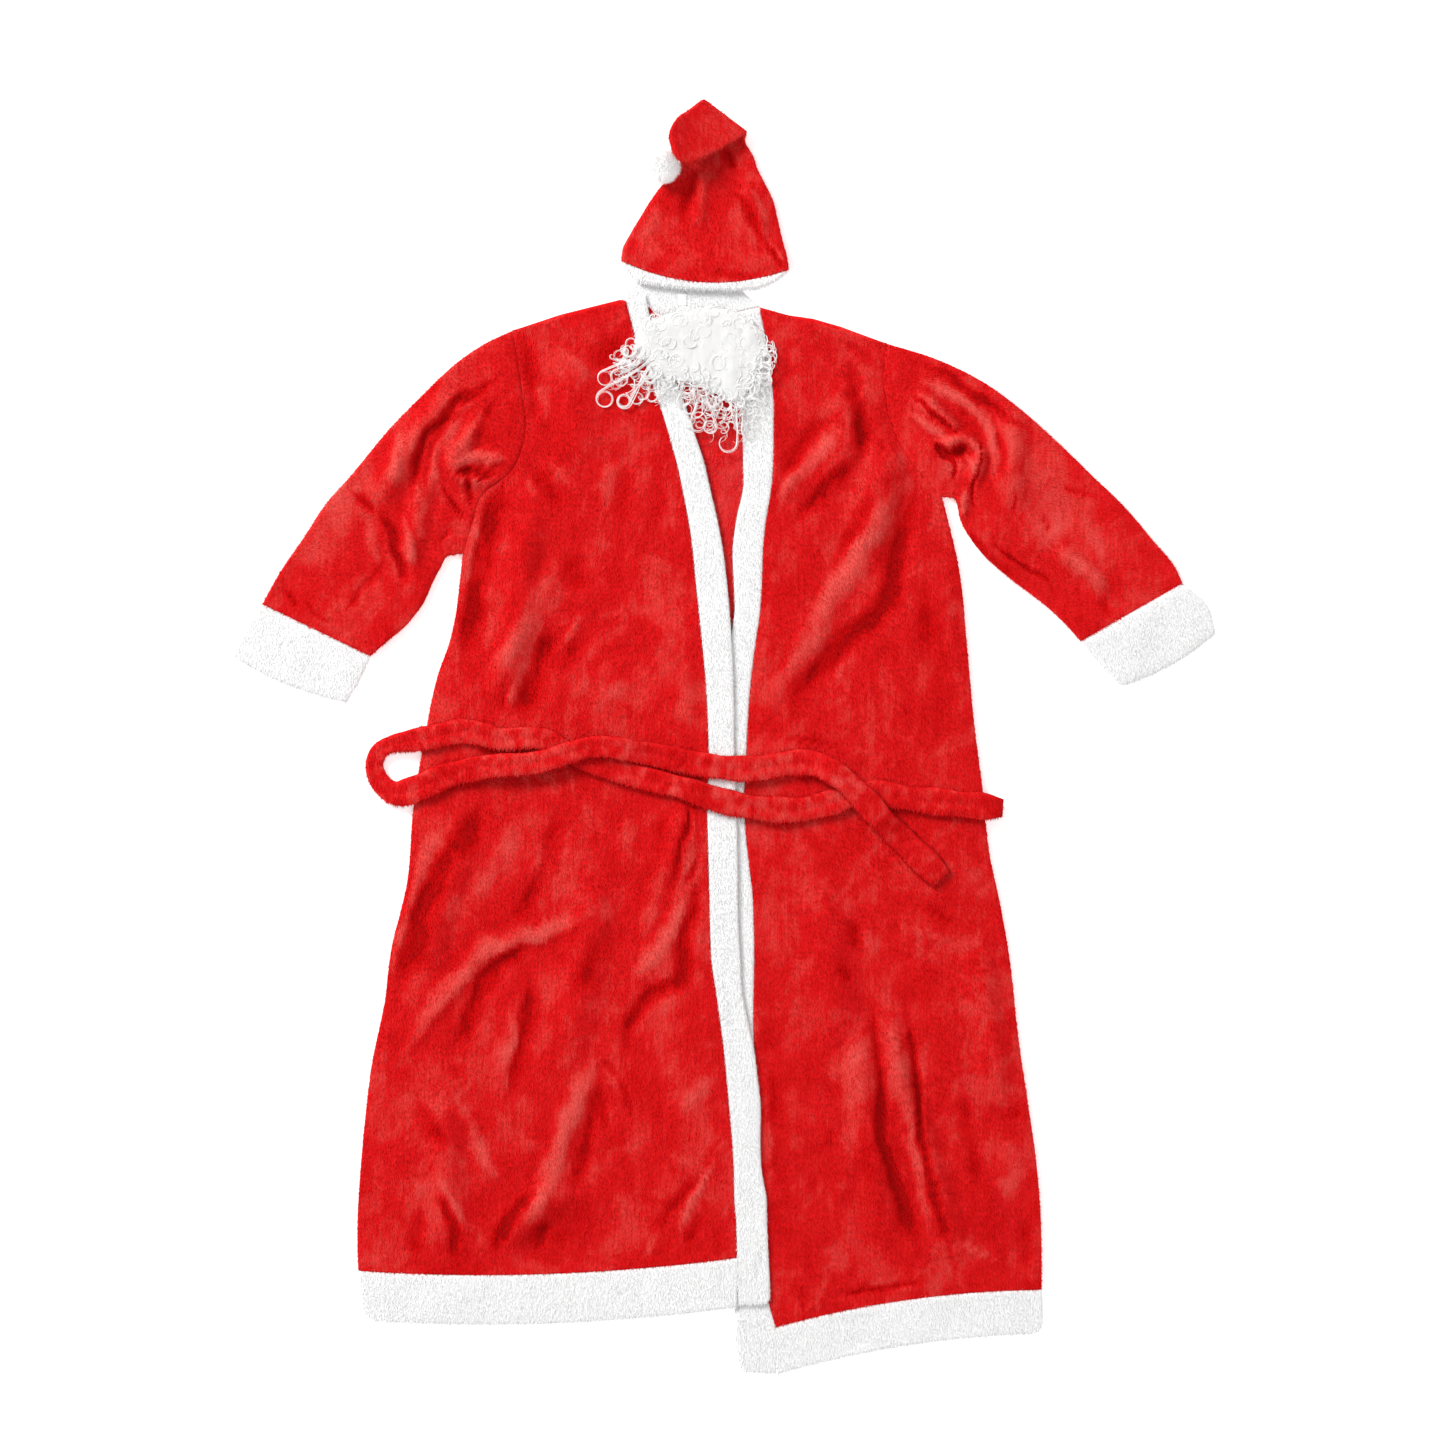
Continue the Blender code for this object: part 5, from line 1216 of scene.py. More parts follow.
def cuff_tube(name, table, material):
    outline = smooth_curve(from_photo(table, pairs=2), 22, spacing_columns=4)
    outer, inner = [], []
    ahead = (outline[-1] - outline[0])[:2]
    ahead = ahead / np.linalg.norm(ahead)
    for i, row in enumerate(outline):
        share_along = i / (len(outline) - 1)
        first, last = np.array(row[:2]), np.array(row[2:4])
        bow = CUFF_BOW * share_along**2 * ahead

        def line(share, first=first, last=last, bow=bow):
            return first + (last - first) * share + bow * 4 * share * (1 - share)

        def lift(x, y):
            return slack(x, y, 34.0, 1.6, 3)

        fur = 0.55 + 0.45 * math.sqrt(1 - (1 - min(1.0, 5 * min(share_along, 1 - share_along))) ** 2)
        ring = tube_ring(line, 0.0, CUFF_WALL, TUBE_GAP, lift)
        lining = tube_ring(line, 0.0, CUFF_WALL, TUBE_GAP, level, inset=CUFF_WALL * 0.8)
        middle = CUFF_WALL + TUBE_GAP / 2
        ring[:, 2] = middle + (ring[:, 2] - middle) * fur
        outer.append(ring)
        inner.append(lining)
    return outline, cloth_tube(name, outer, inner, material)


def hat_section(row, inset=0.0, creases=None):
    """One ring of the hat from a row of x, y, z, half width, half thickness, turn, tilt, bow and flatness."""
    x, y, z, half_width, half_thickness, turn, tilt, bow, flat = row
    across = np.array((math.cos(math.radians(turn)), math.sin(math.radians(turn))))
    ahead = np.array((-across[1], across[0]))
    reach, rise = half_width - inset, half_thickness - inset
    angle = 2 * math.pi * np.arange(RING_POINTS) / RING_POINTS
    u = -np.cos(angle)
    roll = np.minimum(1.0, np.abs(np.sin(angle)) / 0.5)
    v = np.sign(np.sin(angle)) * np.sqrt(roll * (2 - roll))
    v[np.abs(np.sin(angle)) < 1e-9] = 0
    tilt = math.radians(tilt)
    plan = np.array((x, y)) + across * (u * reach)[:, None] - ahead * (math.sin(tilt) * v * rise)[:, None]
    plan = plan + ahead * (bow * (1 - u * u))[:, None]
    height = z + math.cos(tilt) * v * rise
    lift = fold_height(plan[:, 0], plan[:, 1], HAT_FOLDS) + slack(plan[:, 0], plan[:, 1], 42.0, 2.0, 9)
    lift = lift + crease_relief(plan[:, 0], plan[:, 1], creases or {})[0]
    height = height + np.where(v > 0, np.maximum(lift, -rise * 0.5) * roll * flat, 0)
    return np.column_stack([plan, height])


def hat_rows():
    crown = smooth_curve(from_photo(HAT_CROWN), 12, spacing_columns=3)
    rows = []
    for i, row in enumerate(crown):
        bow = HAT_LOWER_BOW * (1 - i / (len(crown) - 1)) ** 5
        tilt = 20 * float(smooth_step(i, len(crown) - 2, len(crown) - 1))
        rows.append([*row, tilt, bow, 1.0 if i < len(crown) - 1 else 0.5])
    for row, tilt in zip(from_photo(HAT_FOLD), HAT_FOLD_TILTS):
        rows.append([*row, tilt, 0, 0])
    return np.array(rows), len(crown)


def hat_pocket(material):
    """The hat's crown: a pocket of cloth, whose tip is folded over its own upper edge."""
    rows, crown = hat_rows()
    last = len(rows) - 1
    fine = finer(rows, np.unique(np.concatenate([np.linspace(0, last, last * 5 + 1), [0.06, 0.12]])))
    fine[:, 3] = np.maximum(fine[:, 3], 8.5)
    outer = np.array([hat_section(row, creases=HAT_CREASES) for row in fine])
    inner_rows = finer(rows, np.linspace(0, crown - 4, (crown - 4) * 4 + 1))
    inner = np.array([hat_section(row, inset=RED_WALL, creases=HAT_CREASES) for row in inner_rows])
    tip, end = outer[-1].mean(axis=0), inner[-1].mean(axis=0)
    for share in (0.7, 0.35):
        outer = np.concatenate([outer, [tip + (outer[-1] - tip) * share]])
    points = np.concatenate([outer.reshape(-1, 3), inner.reshape(-1, 3), [tip, end]])
    faces = []
    for rings, start in ((len(outer), 0), (len(inner), outer.shape[0] * RING_POINTS)):
        grid = np.arange(rings * RING_POINTS).reshape(rings, RING_POINTS) + start
        step = np.roll(grid, -1, axis=1)
        faces += np.stack([grid[:-1], step[:-1], step[1:], grid[1:]], axis=-1).reshape(-1, 4).tolist()
        pole = len(points) - (2 if start == 0 else 1)
        faces += [[grid[-1][k], step[-1][k], pole] for k in range(RING_POINTS)]
    first = np.arange(RING_POINTS)
    inside = first + outer.shape[0] * RING_POINTS
    faces += np.stack([first, inside, np.roll(inside, -1), np.roll(first, -1)], axis=-1).tolist()
    piece = mesh_piece("hat_cloth", points, faces, material)
    share = np.zeros(len(points))
    share[:outer.shape[0] * RING_POINTS] = 1
    set_share(piece, share)
    # Painted shade and highlight of the crown's creases, fading out towards the tip
    on_crown = np.linspace(1, 0, len(outer))[:, None] ** 0.5
    lift, nap = crease_relief(outer[..., 0], outer[..., 1], HAT_CREASES)
    tone = np.zeros(len(points))
    tone[:outer.shape[0] * RING_POINTS] = painted_fold_shading(lift * on_crown, nap * on_crown, wraps=True).ravel()
    set_share(piece, tone, "painted fold shade")
    return rows, piece


def hat_band_tube(material):
    table = from_photo(HAT_BAND)
    rows = np.array([[*row[:6], 0, row[6], 1.0] for row in table])
    fine = finer(rows, np.unique(np.concatenate([np.linspace(0, 2, 21), [0.03, 1.97]])))
    outer, inner = [], []
    for k, row in enumerate(fine):
        along = k / (len(fine) - 1)
        fur = 0.6 + 0.4 * math.sqrt(1 - (1 - min(1.0, 4.5 * min(along, 1 - along))) ** 2)
        shut = 1 - 0.75 * float(smooth_step(along, 0.72, 1.0))
        ring, lining = hat_section(row), hat_section(row, inset=RED_WALL)
        ring[:, 2] = row[2] + (ring[:, 2] - row[2]) * fur * shut
        lining[:, 2] = row[2] + (lining[:, 2] - row[2]) * shut * 0.8
        outer.append(ring)
        inner.append(lining)
    return table, cloth_tube("hat_band_fur", outer, inner, material)


def belt_strap(carriers, material):
    """The belt: a flat tube of cloth sewn shut along its middle, laid over the robe and over itself."""
    route = smooth_curve(from_photo(BELT), 3 * BELT_STATIONS)
    across = ahead_and_aside(route[:, :2])[1]
    top_at = top_finder(carriers)
    under = np.array([
        max(top_at(*(row[:2] + side * share * row[2] / 2)) for share in np.linspace(-1, 1, 7))
        for row, side in zip(route, across)
    ])
    spread = np.pad(under, 4, mode="edge")
    under = np.max([spread[k:k + len(under)] for k in range(9)], axis=0)
    spread = np.pad(under, 7, mode="edge")
    under = np.mean([spread[k:k + len(under)] for k in range(15)], axis=0)
    half = (
        (-1.0, 0.3), (-0.985, 0.55), (-0.94, 0.78), (-0.84, 0.93), (-0.66, 1.0), (-0.45, 0.99), (-0.26, 0.96),
        (-0.1, 0.9), (0.0, 0.87), (0.1, 0.9), (0.26, 0.96), (0.45, 0.99), (0.66, 1.0), (0.84, 0.93),
        (0.94, 0.78), (0.985, 0.55), (1.0, 0.3), (0.95, 0.1), (0.8, 0.02), (0.4, 0.0), (0.0, 0.0),
        (-0.4, 0.0), (-0.8, 0.02), (-0.95, 0.1),
    )
    step = way_along(route[:, :2])
    wander = slack(step, 0 * step, 46.0, 4.5, 2)
    bulk = 1 + slack(step, 0 * step, 38.0, 0.2, 4)
    route[:, 2] *= 1 + slack(step, 0 * step, 30.0, 0.16, 6)
    # Painted shade on the belt's sides and underside, a darker tone where its rounded top turns away from the light;
    # the mottle added below is random tone
    tone = np.array([0.0 if v > 0.6 else -0.6 for _, v in half])
    around = np.array([u * 16.0 for u, _ in half])
    mottle = slack(step[:, None] + 0 * tone, around + 0 * step[:, None], 9.0, 0.8, 8)
    outer, inner = [], []
    for k, (row, side, base) in enumerate(zip(route, across, under)):
        x, y, width, lift = row
        bottom = base + lift + (0.6 if base > 0 else 0)
        end = min(k, len(route) - 1 - k)
        nip = 0.45 + 0.55 * math.sqrt(1 - (1 - min(1.0, end / 5)) ** 2)
        middle = bottom + BELT_THICKNESS * 0.42
        ring, lining = [], []
        for u, v in half:
            shifted = u + (wander[k] / (width / 2)) * (1 - u * u) * 0.5
            depth = BELT_THICKNESS * (v * bulk[k] if v > 0.5 else v)
            place = np.array((x + side[0] * shifted * width / 2, y + side[1] * shifted * width / 2))
            ring.append((*place, middle + (bottom + depth - middle) * nip))
            share = 1 - 4.4 / width
            place = np.array((
                x + side[0] * shifted * share * width / 2, y + side[1] * shifted * share * width / 2,
            ))
            lining.append((*place, middle + (bottom + depth - middle) * nip * 0.25))
        outer.append(ring)
        inner.append(lining)
    piece = cloth_tube("belt_cloth", outer, inner, material)
    belt_painted_shade_and_mottle = np.clip(tone + mottle, -1, 1).ravel()
    set_share(piece, np.concatenate([belt_painted_shade_and_mottle, belt_painted_shade_and_mottle]), "painted fold shade")
    return route, piece


def pompom_ball(material):
    """The ball of fur at the hat's tip, with uneven tufts all over."""
    x, y = from_photo([POMPOM[:2]])[0]
    bm = bmesh.new()
    bmesh.ops.create_icosphere(bm, subdivisions=4, radius=1.0)
    points = np.array([vert.co[:] for vert in bm.verts])
    faces = [[vert.index for vert in face.verts] for face in bm.faces]
    bm.free()
    bumps = np.array([
        noise.noise(Vector(p * 2.6)) * 0.12 + noise.noise(Vector(p * 7.0)) * 0.06 for p in points
    ])
    size = np.array((POMPOM_RADIUS - 2.5, POMPOM_RADIUS - 2.5, POMPOM_HALF_HEIGHT - 2.5))
    piece = mesh_piece("pompom_fur", points * (1 + bumps)[:, None] * size + (x, y, POMPOM[2]), faces, material)
    set_share(piece, np.ones(len(points)))
    return piece


def collar_panel(material):
    outer = finer(smooth_curve(from_photo(COLLAR_OUTER), 15), places(14, 5))
    inner = finer(smooth_curve(from_photo(COLLAR_INNER), 15), places(14, 5))
    plan = patch(outer, inner, crowded_shares(10, (0.03, 0.08)))
    under = np.zeros(plan.shape[:2])
    return plan, cloth_panel(
        "collar_fur", plan, under, COLLAR_WALL + 0.8, material, rounding=10.0, rim=0.35, sink=0.6,
        wave=(30.0, 0.6),
    )


def label_loop(material):
    """The folded loop of tape in the neck, with its two ends sewn into the seam."""
    rest = COLLAR_WALL + LAP
    ends = from_photo([(LABEL["x"], LABEL["top"]), (LABEL["x"], LABEL["bottom"])])
    half, thick = LABEL["width"] / 2, 0.16
    tape = (-1, -0.97, -0.5, 0, 0.5, 0.97, 1)
    path = [(0.0, rest), (0.3, rest + 0.02), (0.6, rest), (0.9, rest), (1.0, rest + 0.28), (0.9, rest + 0.56)]
    path += [(0.6, rest + 0.6), (0.3, rest + 0.66), (0.0, rest + 0.5)]
    path = finer(path, np.linspace(0, len(path) - 1, 33))
    run = ends[1] - ends[0]
    tangent = np.gradient(path * (np.linalg.norm(run), 1), axis=0)
    tangent /= np.linalg.norm(tangent, axis=1)[:, None]
    outer, inner = [], []
    for (along, z), (dx, dz) in zip(path, tangent):
        place = ends[0] + run * along
        for rows, side in ((outer, 0.5), (inner, -0.5)):
            shift = np.array((-dz, dx)) * side * thick
            spot = place + run / np.linalg.norm(run) * shift[0]
            rows.append([(spot[0] + half * share, spot[1], z + shift[1]) for share in tape])
    points = np.concatenate([np.array(outer).reshape(-1, 3), np.array(inner).reshape(-1, 3)])
    return mesh_piece("neck_label_tape", points, sheet_faces(len(path), len(tape)), material)


def lock_path(root, tip, segments=LOCK_SEGMENTS):
    """Middle line of a wavy lock from its root to its tip, swinging wider towards the end."""
    run = tip - root
    length = np.linalg.norm(run)
    side = np.array((-run[1], run[0])) / length
    share = np.linspace(0, 1, segments)[:, None]
    swing = LOCK_SWING * (0.25 + 0.75 * share) * np.sin(2 * math.pi * share * length / LOCK_WAVE)
    return root + run * share + side * swing


def coiled(path, heights, radius, pitch, phase, loosen, drift):
    """A strand that coils round a path. Its loops lie over each other and open towards the tip."""
    ahead, side = ahead_and_aside(path)
    step = way_along(path)
    share = step / step[-1]
    turn = phase + 2 * math.pi * step / pitch * (1 + 0.12 * np.sin(3 * share + drift))
    reach = radius * (smooth_step(share, 0, 0.3) * 0.75 + 0.25 + loosen * share**2)
    lie = 0.8 + 0.25 * np.sin(2.3 * share + 2 * drift)
    plan = path + side * (reach * np.cos(turn))[:, None] + ahead * (lie * reach * np.sin(turn))[:, None]
    return np.column_stack([plan, heights + reach * 0.3 * np.sin(turn + 1.1)])


def bundle(path, chance, count, spread):
    """Strands that run side by side along one ringlet."""
    side = ahead_and_aside(path[:, :2])[1]
    share = np.linspace(0, 1, len(path))
    strands = []
    for k in range(count):
        off = (k - (count - 1) / 2) * spread + chance.normal(0, spread * 0.3)
        swing = np.sin(2 * math.pi * share * 1.7 + chance.uniform(0, 6.3))
        sway = off * (1 - 0.5 * share) + spread * 0.7 * swing
        strand = path.copy()
        strand[:, :2] += side * sway[:, None]
        strand[:, 2] += chance.normal(0, spread * 0.5)
        strands.append(strand[:max(6, int(len(strand) * chance.uniform(0.86, 1.0)))])
    return strands


def open_loop(root, centre, radius, turns, way, height):
    """A ringlet that runs from its root to a loop of its own and goes round it, drawn in a little each turn."""
    root, centre = np.array(root, float), np.array(centre, float)
    run = centre - root
    facing = math.atan2(run[1], run[0])
    first = facing - way * math.pi * 0.55
    start = centre + radius * np.array((math.cos(first), math.sin(first)))
    heading = way * np.array((-math.sin(first), math.cos(first)))
    reach = np.linalg.norm(start - root)
    t = np.linspace(0, 1, 18)[:-1, None]
    lead = (
        (2 * t**3 - 3 * t**2 + 1) * root + (t**3 - 2 * t**2 + t) * run / np.linalg.norm(run) * reach * 1.2
        + (3 * t**2 - 2 * t**3) * start + (t**3 - t**2) * heading * reach * 1.4
    )
    round_share = np.linspace(0, 1, int(26 * turns) + 2)
    angle = first + way * 2 * math.pi * turns * round_share
    tight = radius * (1 - 0.16 * round_share * turns)
    loop = centre + np.stack([np.cos(angle) * tight, np.sin(angle) * tight], axis=1)
    plan = np.concatenate([lead, loop])
    rise = height + 1.6 * np.sin(np.linspace(0, 2 * math.pi * turns, len(plan)))
    rise = rise - np.linspace(0, 1.5, len(plan))
    return np.column_stack([plan, rise])


def over_pad(grid, x, y):
    """Height of the pad's domed top over a plan point, and 0 next to it."""
    edge, _ = from_rim(grid)
    away = np.hypot(grid[..., 0] - x, grid[..., 1] - y)
    spot = np.unravel_index(away.argmin(), away.shape)
    if away[spot] > 7.0:
        return 0.0
    inland = min(1.0, edge[spot] / PAD_ROUNDING)
    return PAD_HEIGHT * (0.3 + 0.7 * math.sqrt(1 - (1 - inland) ** 2))


def rest_on_pad(path, grid, over):
    """The path raised to lie on the pad wherever it crosses it."""
    tops = np.array([over_pad(grid, x, y) for x, y in path[::4, :2]])
    tops = np.interp(np.arange(len(path)), np.arange(0, len(path), 4), tops)
    path[:, 2] = np.maximum(path[:, 2], BEARD_REST + tops + over)
    return path


def beard_strands(grid):
    """Paths of all the strands: the open loops, the locks of the fringe, and the whorls over the body."""
    chance = np.random.default_rng(24)
    columns = BEARD_COLUMNS
    lower = smooth_curve(from_photo(BEARD_PAD_LOWER), columns + 1)
    upper = smooth_curve(from_photo(STRIP_EDGE), columns + 1)
    paths = []
    for root_x, root_y, x, y, radius, turns, way, strands in OPEN_LOOPS:
        root, centre = from_photo([(root_x, root_y), (x, y)])
        path = rest_on_pad(open_loop(root, centre, radius, turns, way, 13.5), grid, 0.6)
        paths += bundle(path, chance, strands, 0.62)
    for locks in LOCK_ROWS:
        tips = smooth_curve(from_photo(locks["tips"]), columns)
        for column in range(columns):
            edge = (lower[column] + lower[column + 1]) / 2
            above = (upper[column] + upper[column + 1]) / 2
            height = 11.5 + locks["rise"] * 0.6
            for _ in range(2):
                start = edge + (above - edge) * chance.uniform(0.0, 0.3) + chance.normal(0, 2.0, 2)
                end = tips[column] + chance.normal(0, 4.0, 2) + (edge - tips[column]) * chance.uniform(0.05, 0.3)
                middle = lock_path(start, end, 46)
                heights = np.full(len(middle), height + chance.uniform(-1.6, 1.6))
                path = coiled(
                    middle, heights,
                    COIL_RADIUS * chance.uniform(0.6, 1.1), COIL_PITCH * chance.uniform(0.85, 1.4),
                    chance.uniform(0, 6.3), 0.15, chance.uniform(0, 6.3),
                )
                paths += bundle(rest_on_pad(path, grid, 0.1), chance, 3, 0.55)
    rows, across = grid.shape[:2]
    spots = [
        grid[int(chance.uniform(0.04, 0.97) * rows), int(chance.uniform(0.04, 0.96) * across)]
        for _ in range(100)
    ]
    tips = smooth_curve(from_photo(LOCK_ROWS[0]["tips"]), columns + 1)
    for column in chance.integers(0, columns + 1, 46):
        spots.append(lower[column] + (tips[column] - lower[column]) * chance.uniform(-0.1, 0.55))
    for spot in spots:
        radius, turns = chance.uniform(4.0, 10.0), chance.uniform(0.6, 1.5)
        first, way = chance.uniform(0, 6.3), chance.choice((-1, 1))
        share = np.linspace(0, 1, 18)
        angle = first + way * 2 * math.pi * turns * share
        tight = radius * (1 - 0.45 * share)
        plan = spot + np.stack([np.cos(angle) * tight, np.sin(angle) * tight], axis=1)
        path = rest_on_pad(np.column_stack([plan, np.full(len(share), 11.5)]), grid, chance.uniform(-0.1, 0.3))
        paths += bundle(path, chance, 3, 0.7)
    return paths


def strand_mesh(paths, radius):
    """An object of bare edges along the paths, with each point's thickness kept on it."""
    points, edges, thickness = [], [], []
    for path in paths:
        start = len(points)
        points += path.tolist()
        edges += [(start + k, start + k + 1) for k in range(len(path) - 1)]
        share = np.linspace(0, 1, len(path))
        thickness += (radius * MM * (1 - 0.55 * share**1.5)).tolist()
    mesh = bpy.data.meshes.new("paths")
    mesh.from_pydata((np.array(points) * MM).tolist(), edges, [])
    carrier = placed("paths", mesh)
    set_share(carrier, thickness, "thickness")
    return carrier


def beard_pad(material):
    """The mass of fine hair over the sewn strip: a soft pad, domed on top and uneven with whorls."""
    columns = 70
    upper = smooth_curve(from_photo(STRIP_EDGE), columns)
    lower = smooth_curve(from_photo(BEARD_PAD_LOWER), columns)
    plan = patch(upper, lower, crowded_shares(40, (0.01, 0.02, 0.04)))
    under = np.full(plan.shape[:2], BEARD_REST)
    return plan, cloth_panel(
        "beard_pad", plan, under, PAD_HEIGHT, material, rounding=PAD_ROUNDING, rim=0.3, sink=0.0,
        wave=(20.0, 1.6),
    )


# The bands' creases, with the same columns as the robe's: painted shade in their troughs
BAND_CREASES = {
    "left band end": (5, 5, -1.6, -0.3, ((764, 1232), (761, 1250), (758, 1268), (751, 1290))),
    "left band fold": (5, 5, -1.2, -0.3, ((739, 1265), (740, 1278), (741, 1290))),
    "left band middle": (6, 6, -0.9, -0.15, ((722, 960), (728, 1004), (736, 1050))),
}

patches = nap_patches_group()
RED_SIZES = {
    "Patch Width": 0.026, "Patch Length": 0.042, "Turn": 0.3, "Warp": 0.045, "Rib Size": 0.0024,
    "Tuft Size": 0.0017, "Patch Share": 0.28, "Stroke Share": 0.13, "Rib Share": 0.11, "Tuft Share": 0.26,
    "Painted Fold Share": 0.5,
}
INSIDE_SIZES = dict(RED_SIZES, **{"Patch Share": 0.15, "Stroke Share": 0.12})
WHITE_SIZES = {
    "Patch Width": 0.016, "Patch Length": 0.02, "Turn": 0.0, "Warp": 0.02, "Rib Size": 0.003,
    "Tuft Size": 0.0019, "Patch Share": 0.14, "Stroke Share": 0.08, "Rib Share": 0.06, "Tuft Share": 0.2,
    "Painted Fold Share": 0.5,
}
# Deep, main and light shades of each plush. The pile's patches move between them at random, and the creases add
# painted shade towards the deep end and painted highlight towards the light one.
red_shades = ((0.58, 0.0001, 0.0010), (0.70, 0.0070, 0.0088), (0.76, 0.078, 0.066))
inside_shades = ((0.61, 0.012, 0.016), (0.68, 0.030, 0.033), (0.74, 0.062, 0.062))
white_shades = ((0.85, 0.85, 0.86), (0.90, 0.897, 0.897), (0.94, 0.94, 0.94))
# A brighter copy of the white fur for the pompom: painted light against the shade among its upright tufts
pompom_painted_bright_shades = ((0.93, 0.93, 0.93), (0.96, 0.96, 0.955), (0.985, 0.985, 0.98))
# The pad darker than the strands' own white: painted shade of the inner mass of the hair
pad_painted_shade_tones = ((0.70, 0.69, 0.68), (0.76, 0.755, 0.745), (0.82, 0.82, 0.81))
hair_shades = ((0.90, 0.895, 0.88), (0.93, 0.928, 0.92), (0.96, 0.96, 0.955))
RED_SHEEN = (1.0, 0.25, 0.22)
PLAIN_SHEEN = (1.0, 1.0, 1.0)
red_cloth = plush(
    "red plush cloth", red_shades, (0.78, 0.92), 0.06, RED_SHEEN, RED_SIZES, bump=0.5, gloss=0.1,
)
red_fibre = plush("red plush pile", red_shades, (0.7, 0.88), 0.06, RED_SHEEN, RED_SIZES, gloss=0.1)
inside_fibre = plush("red pile inside", inside_shades, (0.75, 0.9), 0.1, RED_SHEEN, INSIDE_SIZES, gloss=0.1)
white_cloth = plush("white fur cloth", white_shades, (0.85, 0.95), 0.1, PLAIN_SHEEN, WHITE_SIZES, bump=0.12)
white_fibre = plush("white fur pile", white_shades, (0.8, 0.92), 0.1, PLAIN_SHEEN, WHITE_SIZES)
# The pompom's pile, with a painted glow from emission
pompom_fibre = plush(
    "white pompom pile", pompom_painted_bright_shades, (0.8, 0.92), 0.1, PLAIN_SHEEN, WHITE_SIZES, glow=0.1,
)
hair_pad = plush(
    "curly hair pad", pad_painted_shade_tones, (0.7, 0.85), 0.1, PLAIN_SHEEN, WHITE_SIZES, bump=0.2, soft=0.5,
)
# Strands of hair with a painted glow from emission, which brightens them
hair_curls = plush(
    "curly hair", hair_shades, (0.35, 0.5), 0.0, PLAIN_SHEEN, WHITE_SIZES, gloss=0.5, glow=0.1,
)
label_cloth = plush("label tape", white_shades, (0.55, 0.7), 0.0, PLAIN_SHEEN, WHITE_SIZES, bump=0.2)

tufts, strands = tuft_tree(), strand_tree()


# Robe
at = places(ARMHOLE_ROWS + SIDE_ROWS, FINER_ROWS)
left, right, seam_left, seam_right, rim_left, rim_right = robe_edges(at)
back_at = places(ARMHOLE_ROWS + SIDE_ROWS, BACK_FINER_ROWS)
back_grid, back_cloth = back_panel(*robe_edges(back_at)[:2], red_cloth)
back_hem_grid, back_hem_fur = back_hem_panel(back_grid[-1, 0], back_grid[-1, -1], white_cloth)
front_left_grid, front_left = front_panel("front_left_cloth", left, seam_left, True, ROBE_CREASES, red_cloth)
front_right_grid, front_right = front_panel(
    "front_right_cloth", right, seam_right, False, ROBE_CREASES, red_cloth,
)
hem_left_grid, hem_left = hem_panel(
    "hem_left_fur", left[-1], seam_left[-1] + (2 * SEAM, 0), (7, -HEM_DEPTH_LEFT),
    (-1, -HEM_DEPTH_LEFT), LEFT_HEM_BOW, True, white_cloth,
)
hem_right_grid, hem_right = hem_panel(
    "hem_right_fur", right[-1], seam_right[-1] + (SEAM / 2, 0), (2, -HEM_DEPTH_RIGHT + 3),
    (2, -HEM_DEPTH_RIGHT), RIGHT_HEM_BOW, False, white_cloth,
)
rim_at = places(len(rim_left) - 1, FINER_ROWS)
band_left_grid, band_left = band_panel("band_left_fur", finer(rim_left, rim_at), 1, True, white_cloth)
band_right_grid, band_right = band_panel("band_right_fur", finer(rim_right, rim_at), -1, False, white_cloth)
armhole_left = body_edge(ARMHOLE_LEFT, SIDE_LEFT)[:ARMHOLE_ROWS + 1]
armhole_right = body_edge(ARMHOLE_RIGHT, SIDE_RIGHT)[:ARMHOLE_ROWS + 1]
sleeve_left_line, sleeve_left = sleeve_tube("sleeve_left_cloth", armhole_left, SLEEVE_LEFT, -1, red_cloth)
sleeve_right_line, sleeve_right = sleeve_tube("sleeve_right_cloth", armhole_right, SLEEVE_RIGHT, 1, red_cloth)
cuff_left_line, cuff_left = cuff_tube("cuff_left_fur", CUFF_LEFT, white_cloth)
cuff_right_line, cuff_right = cuff_tube("cuff_right_fur", CUFF_RIGHT, white_cloth)
collar_grid, collar_fur = collar_panel(white_cloth)
label_tape = label_loop(label_cloth)
carriers = [back_cloth, back_hem_fur, front_left, front_right, hem_left, hem_right, band_left, band_right]
belt_route, belt_cloth = belt_strap(carriers, red_cloth)

# Hat and beard
hat_line, hat_cloth = hat_pocket(red_cloth)
hat_band_line, hat_band_fur = hat_band_tube(white_cloth)
pompom_fur = pompom_ball(white_cloth)
beard_grid, beard_cloth = beard_pad(hair_pad)
curl_carrier = strand_mesh(beard_strands(beard_grid), STRAND_RADIUS)
beard_curls = grow("beard_curls", curl_carrier, strands, {"Sides": 3, "Hair": hair_curls})
beard_curls.data.shade_smooth()
bpy.data.objects.remove(curl_carrier)


def pile_on(cloth, pile, fibre, seed, **changes):
    """The pile of a cloth, grown on it as a piece of its own."""
    name = cloth.name.replace("_cloth", "").replace("_fur", "") + "_pile"
    return grow(name, cloth, tufts, {**pile, "Seed": seed, "Fibre": fibre, **changes})


def size_of(grid):
    across = np.linalg.norm(np.diff(grid, axis=1), axis=2).sum(axis=1).max()
    down = np.linalg.norm(np.diff(grid, axis=0), axis=2).sum(axis=0).max()
    return float(across) * MM, float(down) * MM


def dress_panel(piece, node, grid, pile):
    flat = size_of(grid)
    area = min(cloth_area(grid), flat[0] * flat[1])
    dressed(piece, node, with_pieces=[pile])


def dress_tube(piece, node, pile, length):
    """Puts a tube in the place of its CAD node, with its pile."""
    dressed(piece, node, with_pieces=[pile])


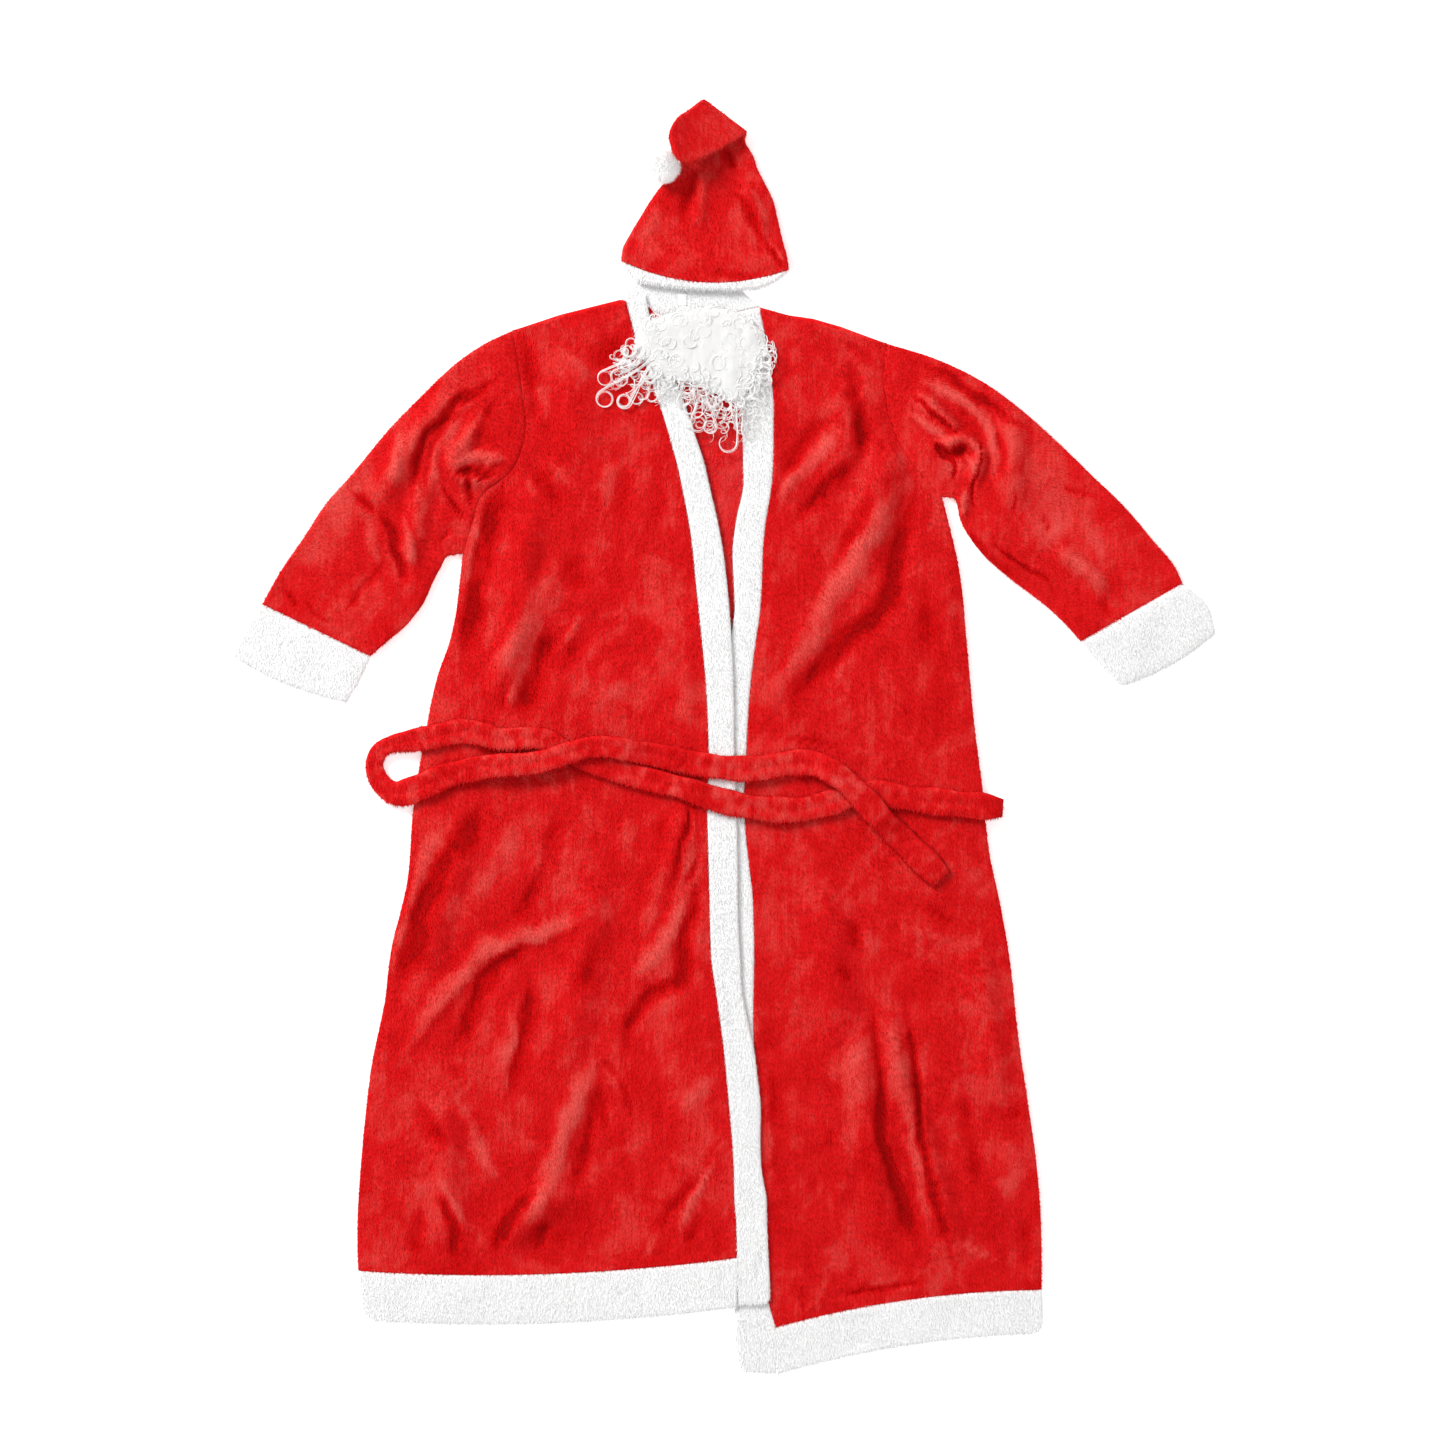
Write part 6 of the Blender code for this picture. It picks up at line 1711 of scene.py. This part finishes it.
dress_panel(back_cloth, "back", back_grid, pile_on(back_cloth, RED_PILE, inside_fibre, 1))
dress_panel(
    back_hem_fur, "hem_back", back_hem_grid,
    pile_on(back_hem_fur, WHITE_PILE, white_fibre, 2, **{"Tufts per m2": 260000.0}),
)
for piece, node, grid, seed in (
    (front_left, "front_left", front_left_grid, 3), (front_right, "front_right", front_right_grid, 4),
):
    dress_panel(piece, node, grid, pile_on(piece, RED_PILE, red_fibre, seed))
for piece, node, grid, seed in (
    (hem_left, "hem_left", hem_left_grid, 5), (hem_right, "hem_right", hem_right_grid, 6),
    (band_left, "band_left", band_left_grid, 7), (band_right, "band_right", band_right_grid, 8),
    (collar_fur, "collar", collar_grid, 9),
):
    dress_panel(piece, node, grid, pile_on(piece, WHITE_PILE, white_fibre, seed))


def length_of(line):
    """Length of a line of points, in metres."""
    return float(np.linalg.norm(np.diff(line, axis=0), axis=1).sum()) * MM


def tube_length(outline):
    return length_of((outline[:, :2] + outline[:, 2:4]) / 2)


for piece, node, line, seed, nap in (
    (sleeve_left, "sleeve_left", sleeve_left_line, 11, (-0.8, -0.8, 0.0)),
    (sleeve_right, "sleeve_right", sleeve_right_line, 12, (0.8, -0.8, 0.0)),
):
    pile = pile_on(piece, RED_PILE, red_fibre, seed, Nap=nap)
    dress_tube(piece, node, pile, tube_length(line))
for piece, node, line, seed in (
    (cuff_left, "cuff_left", cuff_left_line, 13), (cuff_right, "cuff_right", cuff_right_line, 14),
):
    dress_tube(piece, node, pile_on(piece, WHITE_PILE, white_fibre, seed), tube_length(line))
belt_pile = pile_on(belt_cloth, RED_PILE, red_fibre, 15)
dress_tube(belt_cloth, "belt", belt_pile, length_of(belt_route[:, :2]))
hat_pile = pile_on(hat_cloth, RED_PILE, red_fibre, 16)
dress_tube(hat_cloth, "hat_crown", hat_pile, length_of(hat_line[:, :3]))
dress_tube(
    hat_band_fur, "hat_band", pile_on(hat_band_fur, WHITE_PILE, white_fibre, 17),
    length_of(hat_band_line[:, :3]),
)
pompom_pile = pile_on(pompom_fur, WHITE_PILE, pompom_fibre, 18, Length=0.0055, Lean=0.5,
                      **{"Tufts per m2": 1900000.0})
for piece in (pompom_fur, pompom_pile):
    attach(piece, "root")
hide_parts("pompom")
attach(label_tape, "root")
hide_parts("neck_label")
for piece in (beard_cloth, beard_curls):
    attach(piece, "root")
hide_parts("beard")

# Stage, light and camera
floor_mesh = bpy.data.meshes.new("floor")
corners = [(-4, -4, -0.0006), (4, -4, -0.0006), (4, 4, -0.0006), (-4, 4, -0.0006)]
floor_mesh.from_pydata(corners, [], [(0, 1, 2, 3)])
floor_mesh.materials.append(plain_material("pale floor", {
    "Base Color": (0.97, 0.97, 0.97, 1.0), "Roughness": 1.0, "Specular IOR Level": 0.0,
    "Emission Color": (1.0, 1.0, 1.0, 1.0), "Emission Strength": 0.45,
})[0])
placed("floor", floor_mesh)

world = bpy.data.worlds.new("studio")
world.use_nodes = True
set_inputs(world.node_tree.nodes["Background"], {"Color": (1.0, 1.0, 1.0, 1.0), "Strength": 0.50})
bpy.context.scene.world = world


def soft_light(name, place, size, power):
    lamp = bpy.data.lights.new(name, "AREA")
    lamp.shape = "SQUARE"
    lamp.size = size
    lamp.energy = power
    holder = placed(name, lamp)
    holder.location = place
    holder.rotation_euler = (-Vector(place)).to_track_quat("-Z", "Y").to_euler()


soft_light("key", (-4.2, 3.8, 3.8), 2.0, 475)
soft_light("fill", (2.6, -1.2, 4.0), 3.0, 42)

lens = bpy.data.cameras.new("camera")
lens.lens = 135
lens.sensor_width = 36
lens.clip_end = 30
camera = placed("camera", lens)
camera.location = (-0.00112, 0.01624, 6.08)
bpy.context.scene.camera = camera
bpy.context.scene.view_settings.view_transform = "Standard"
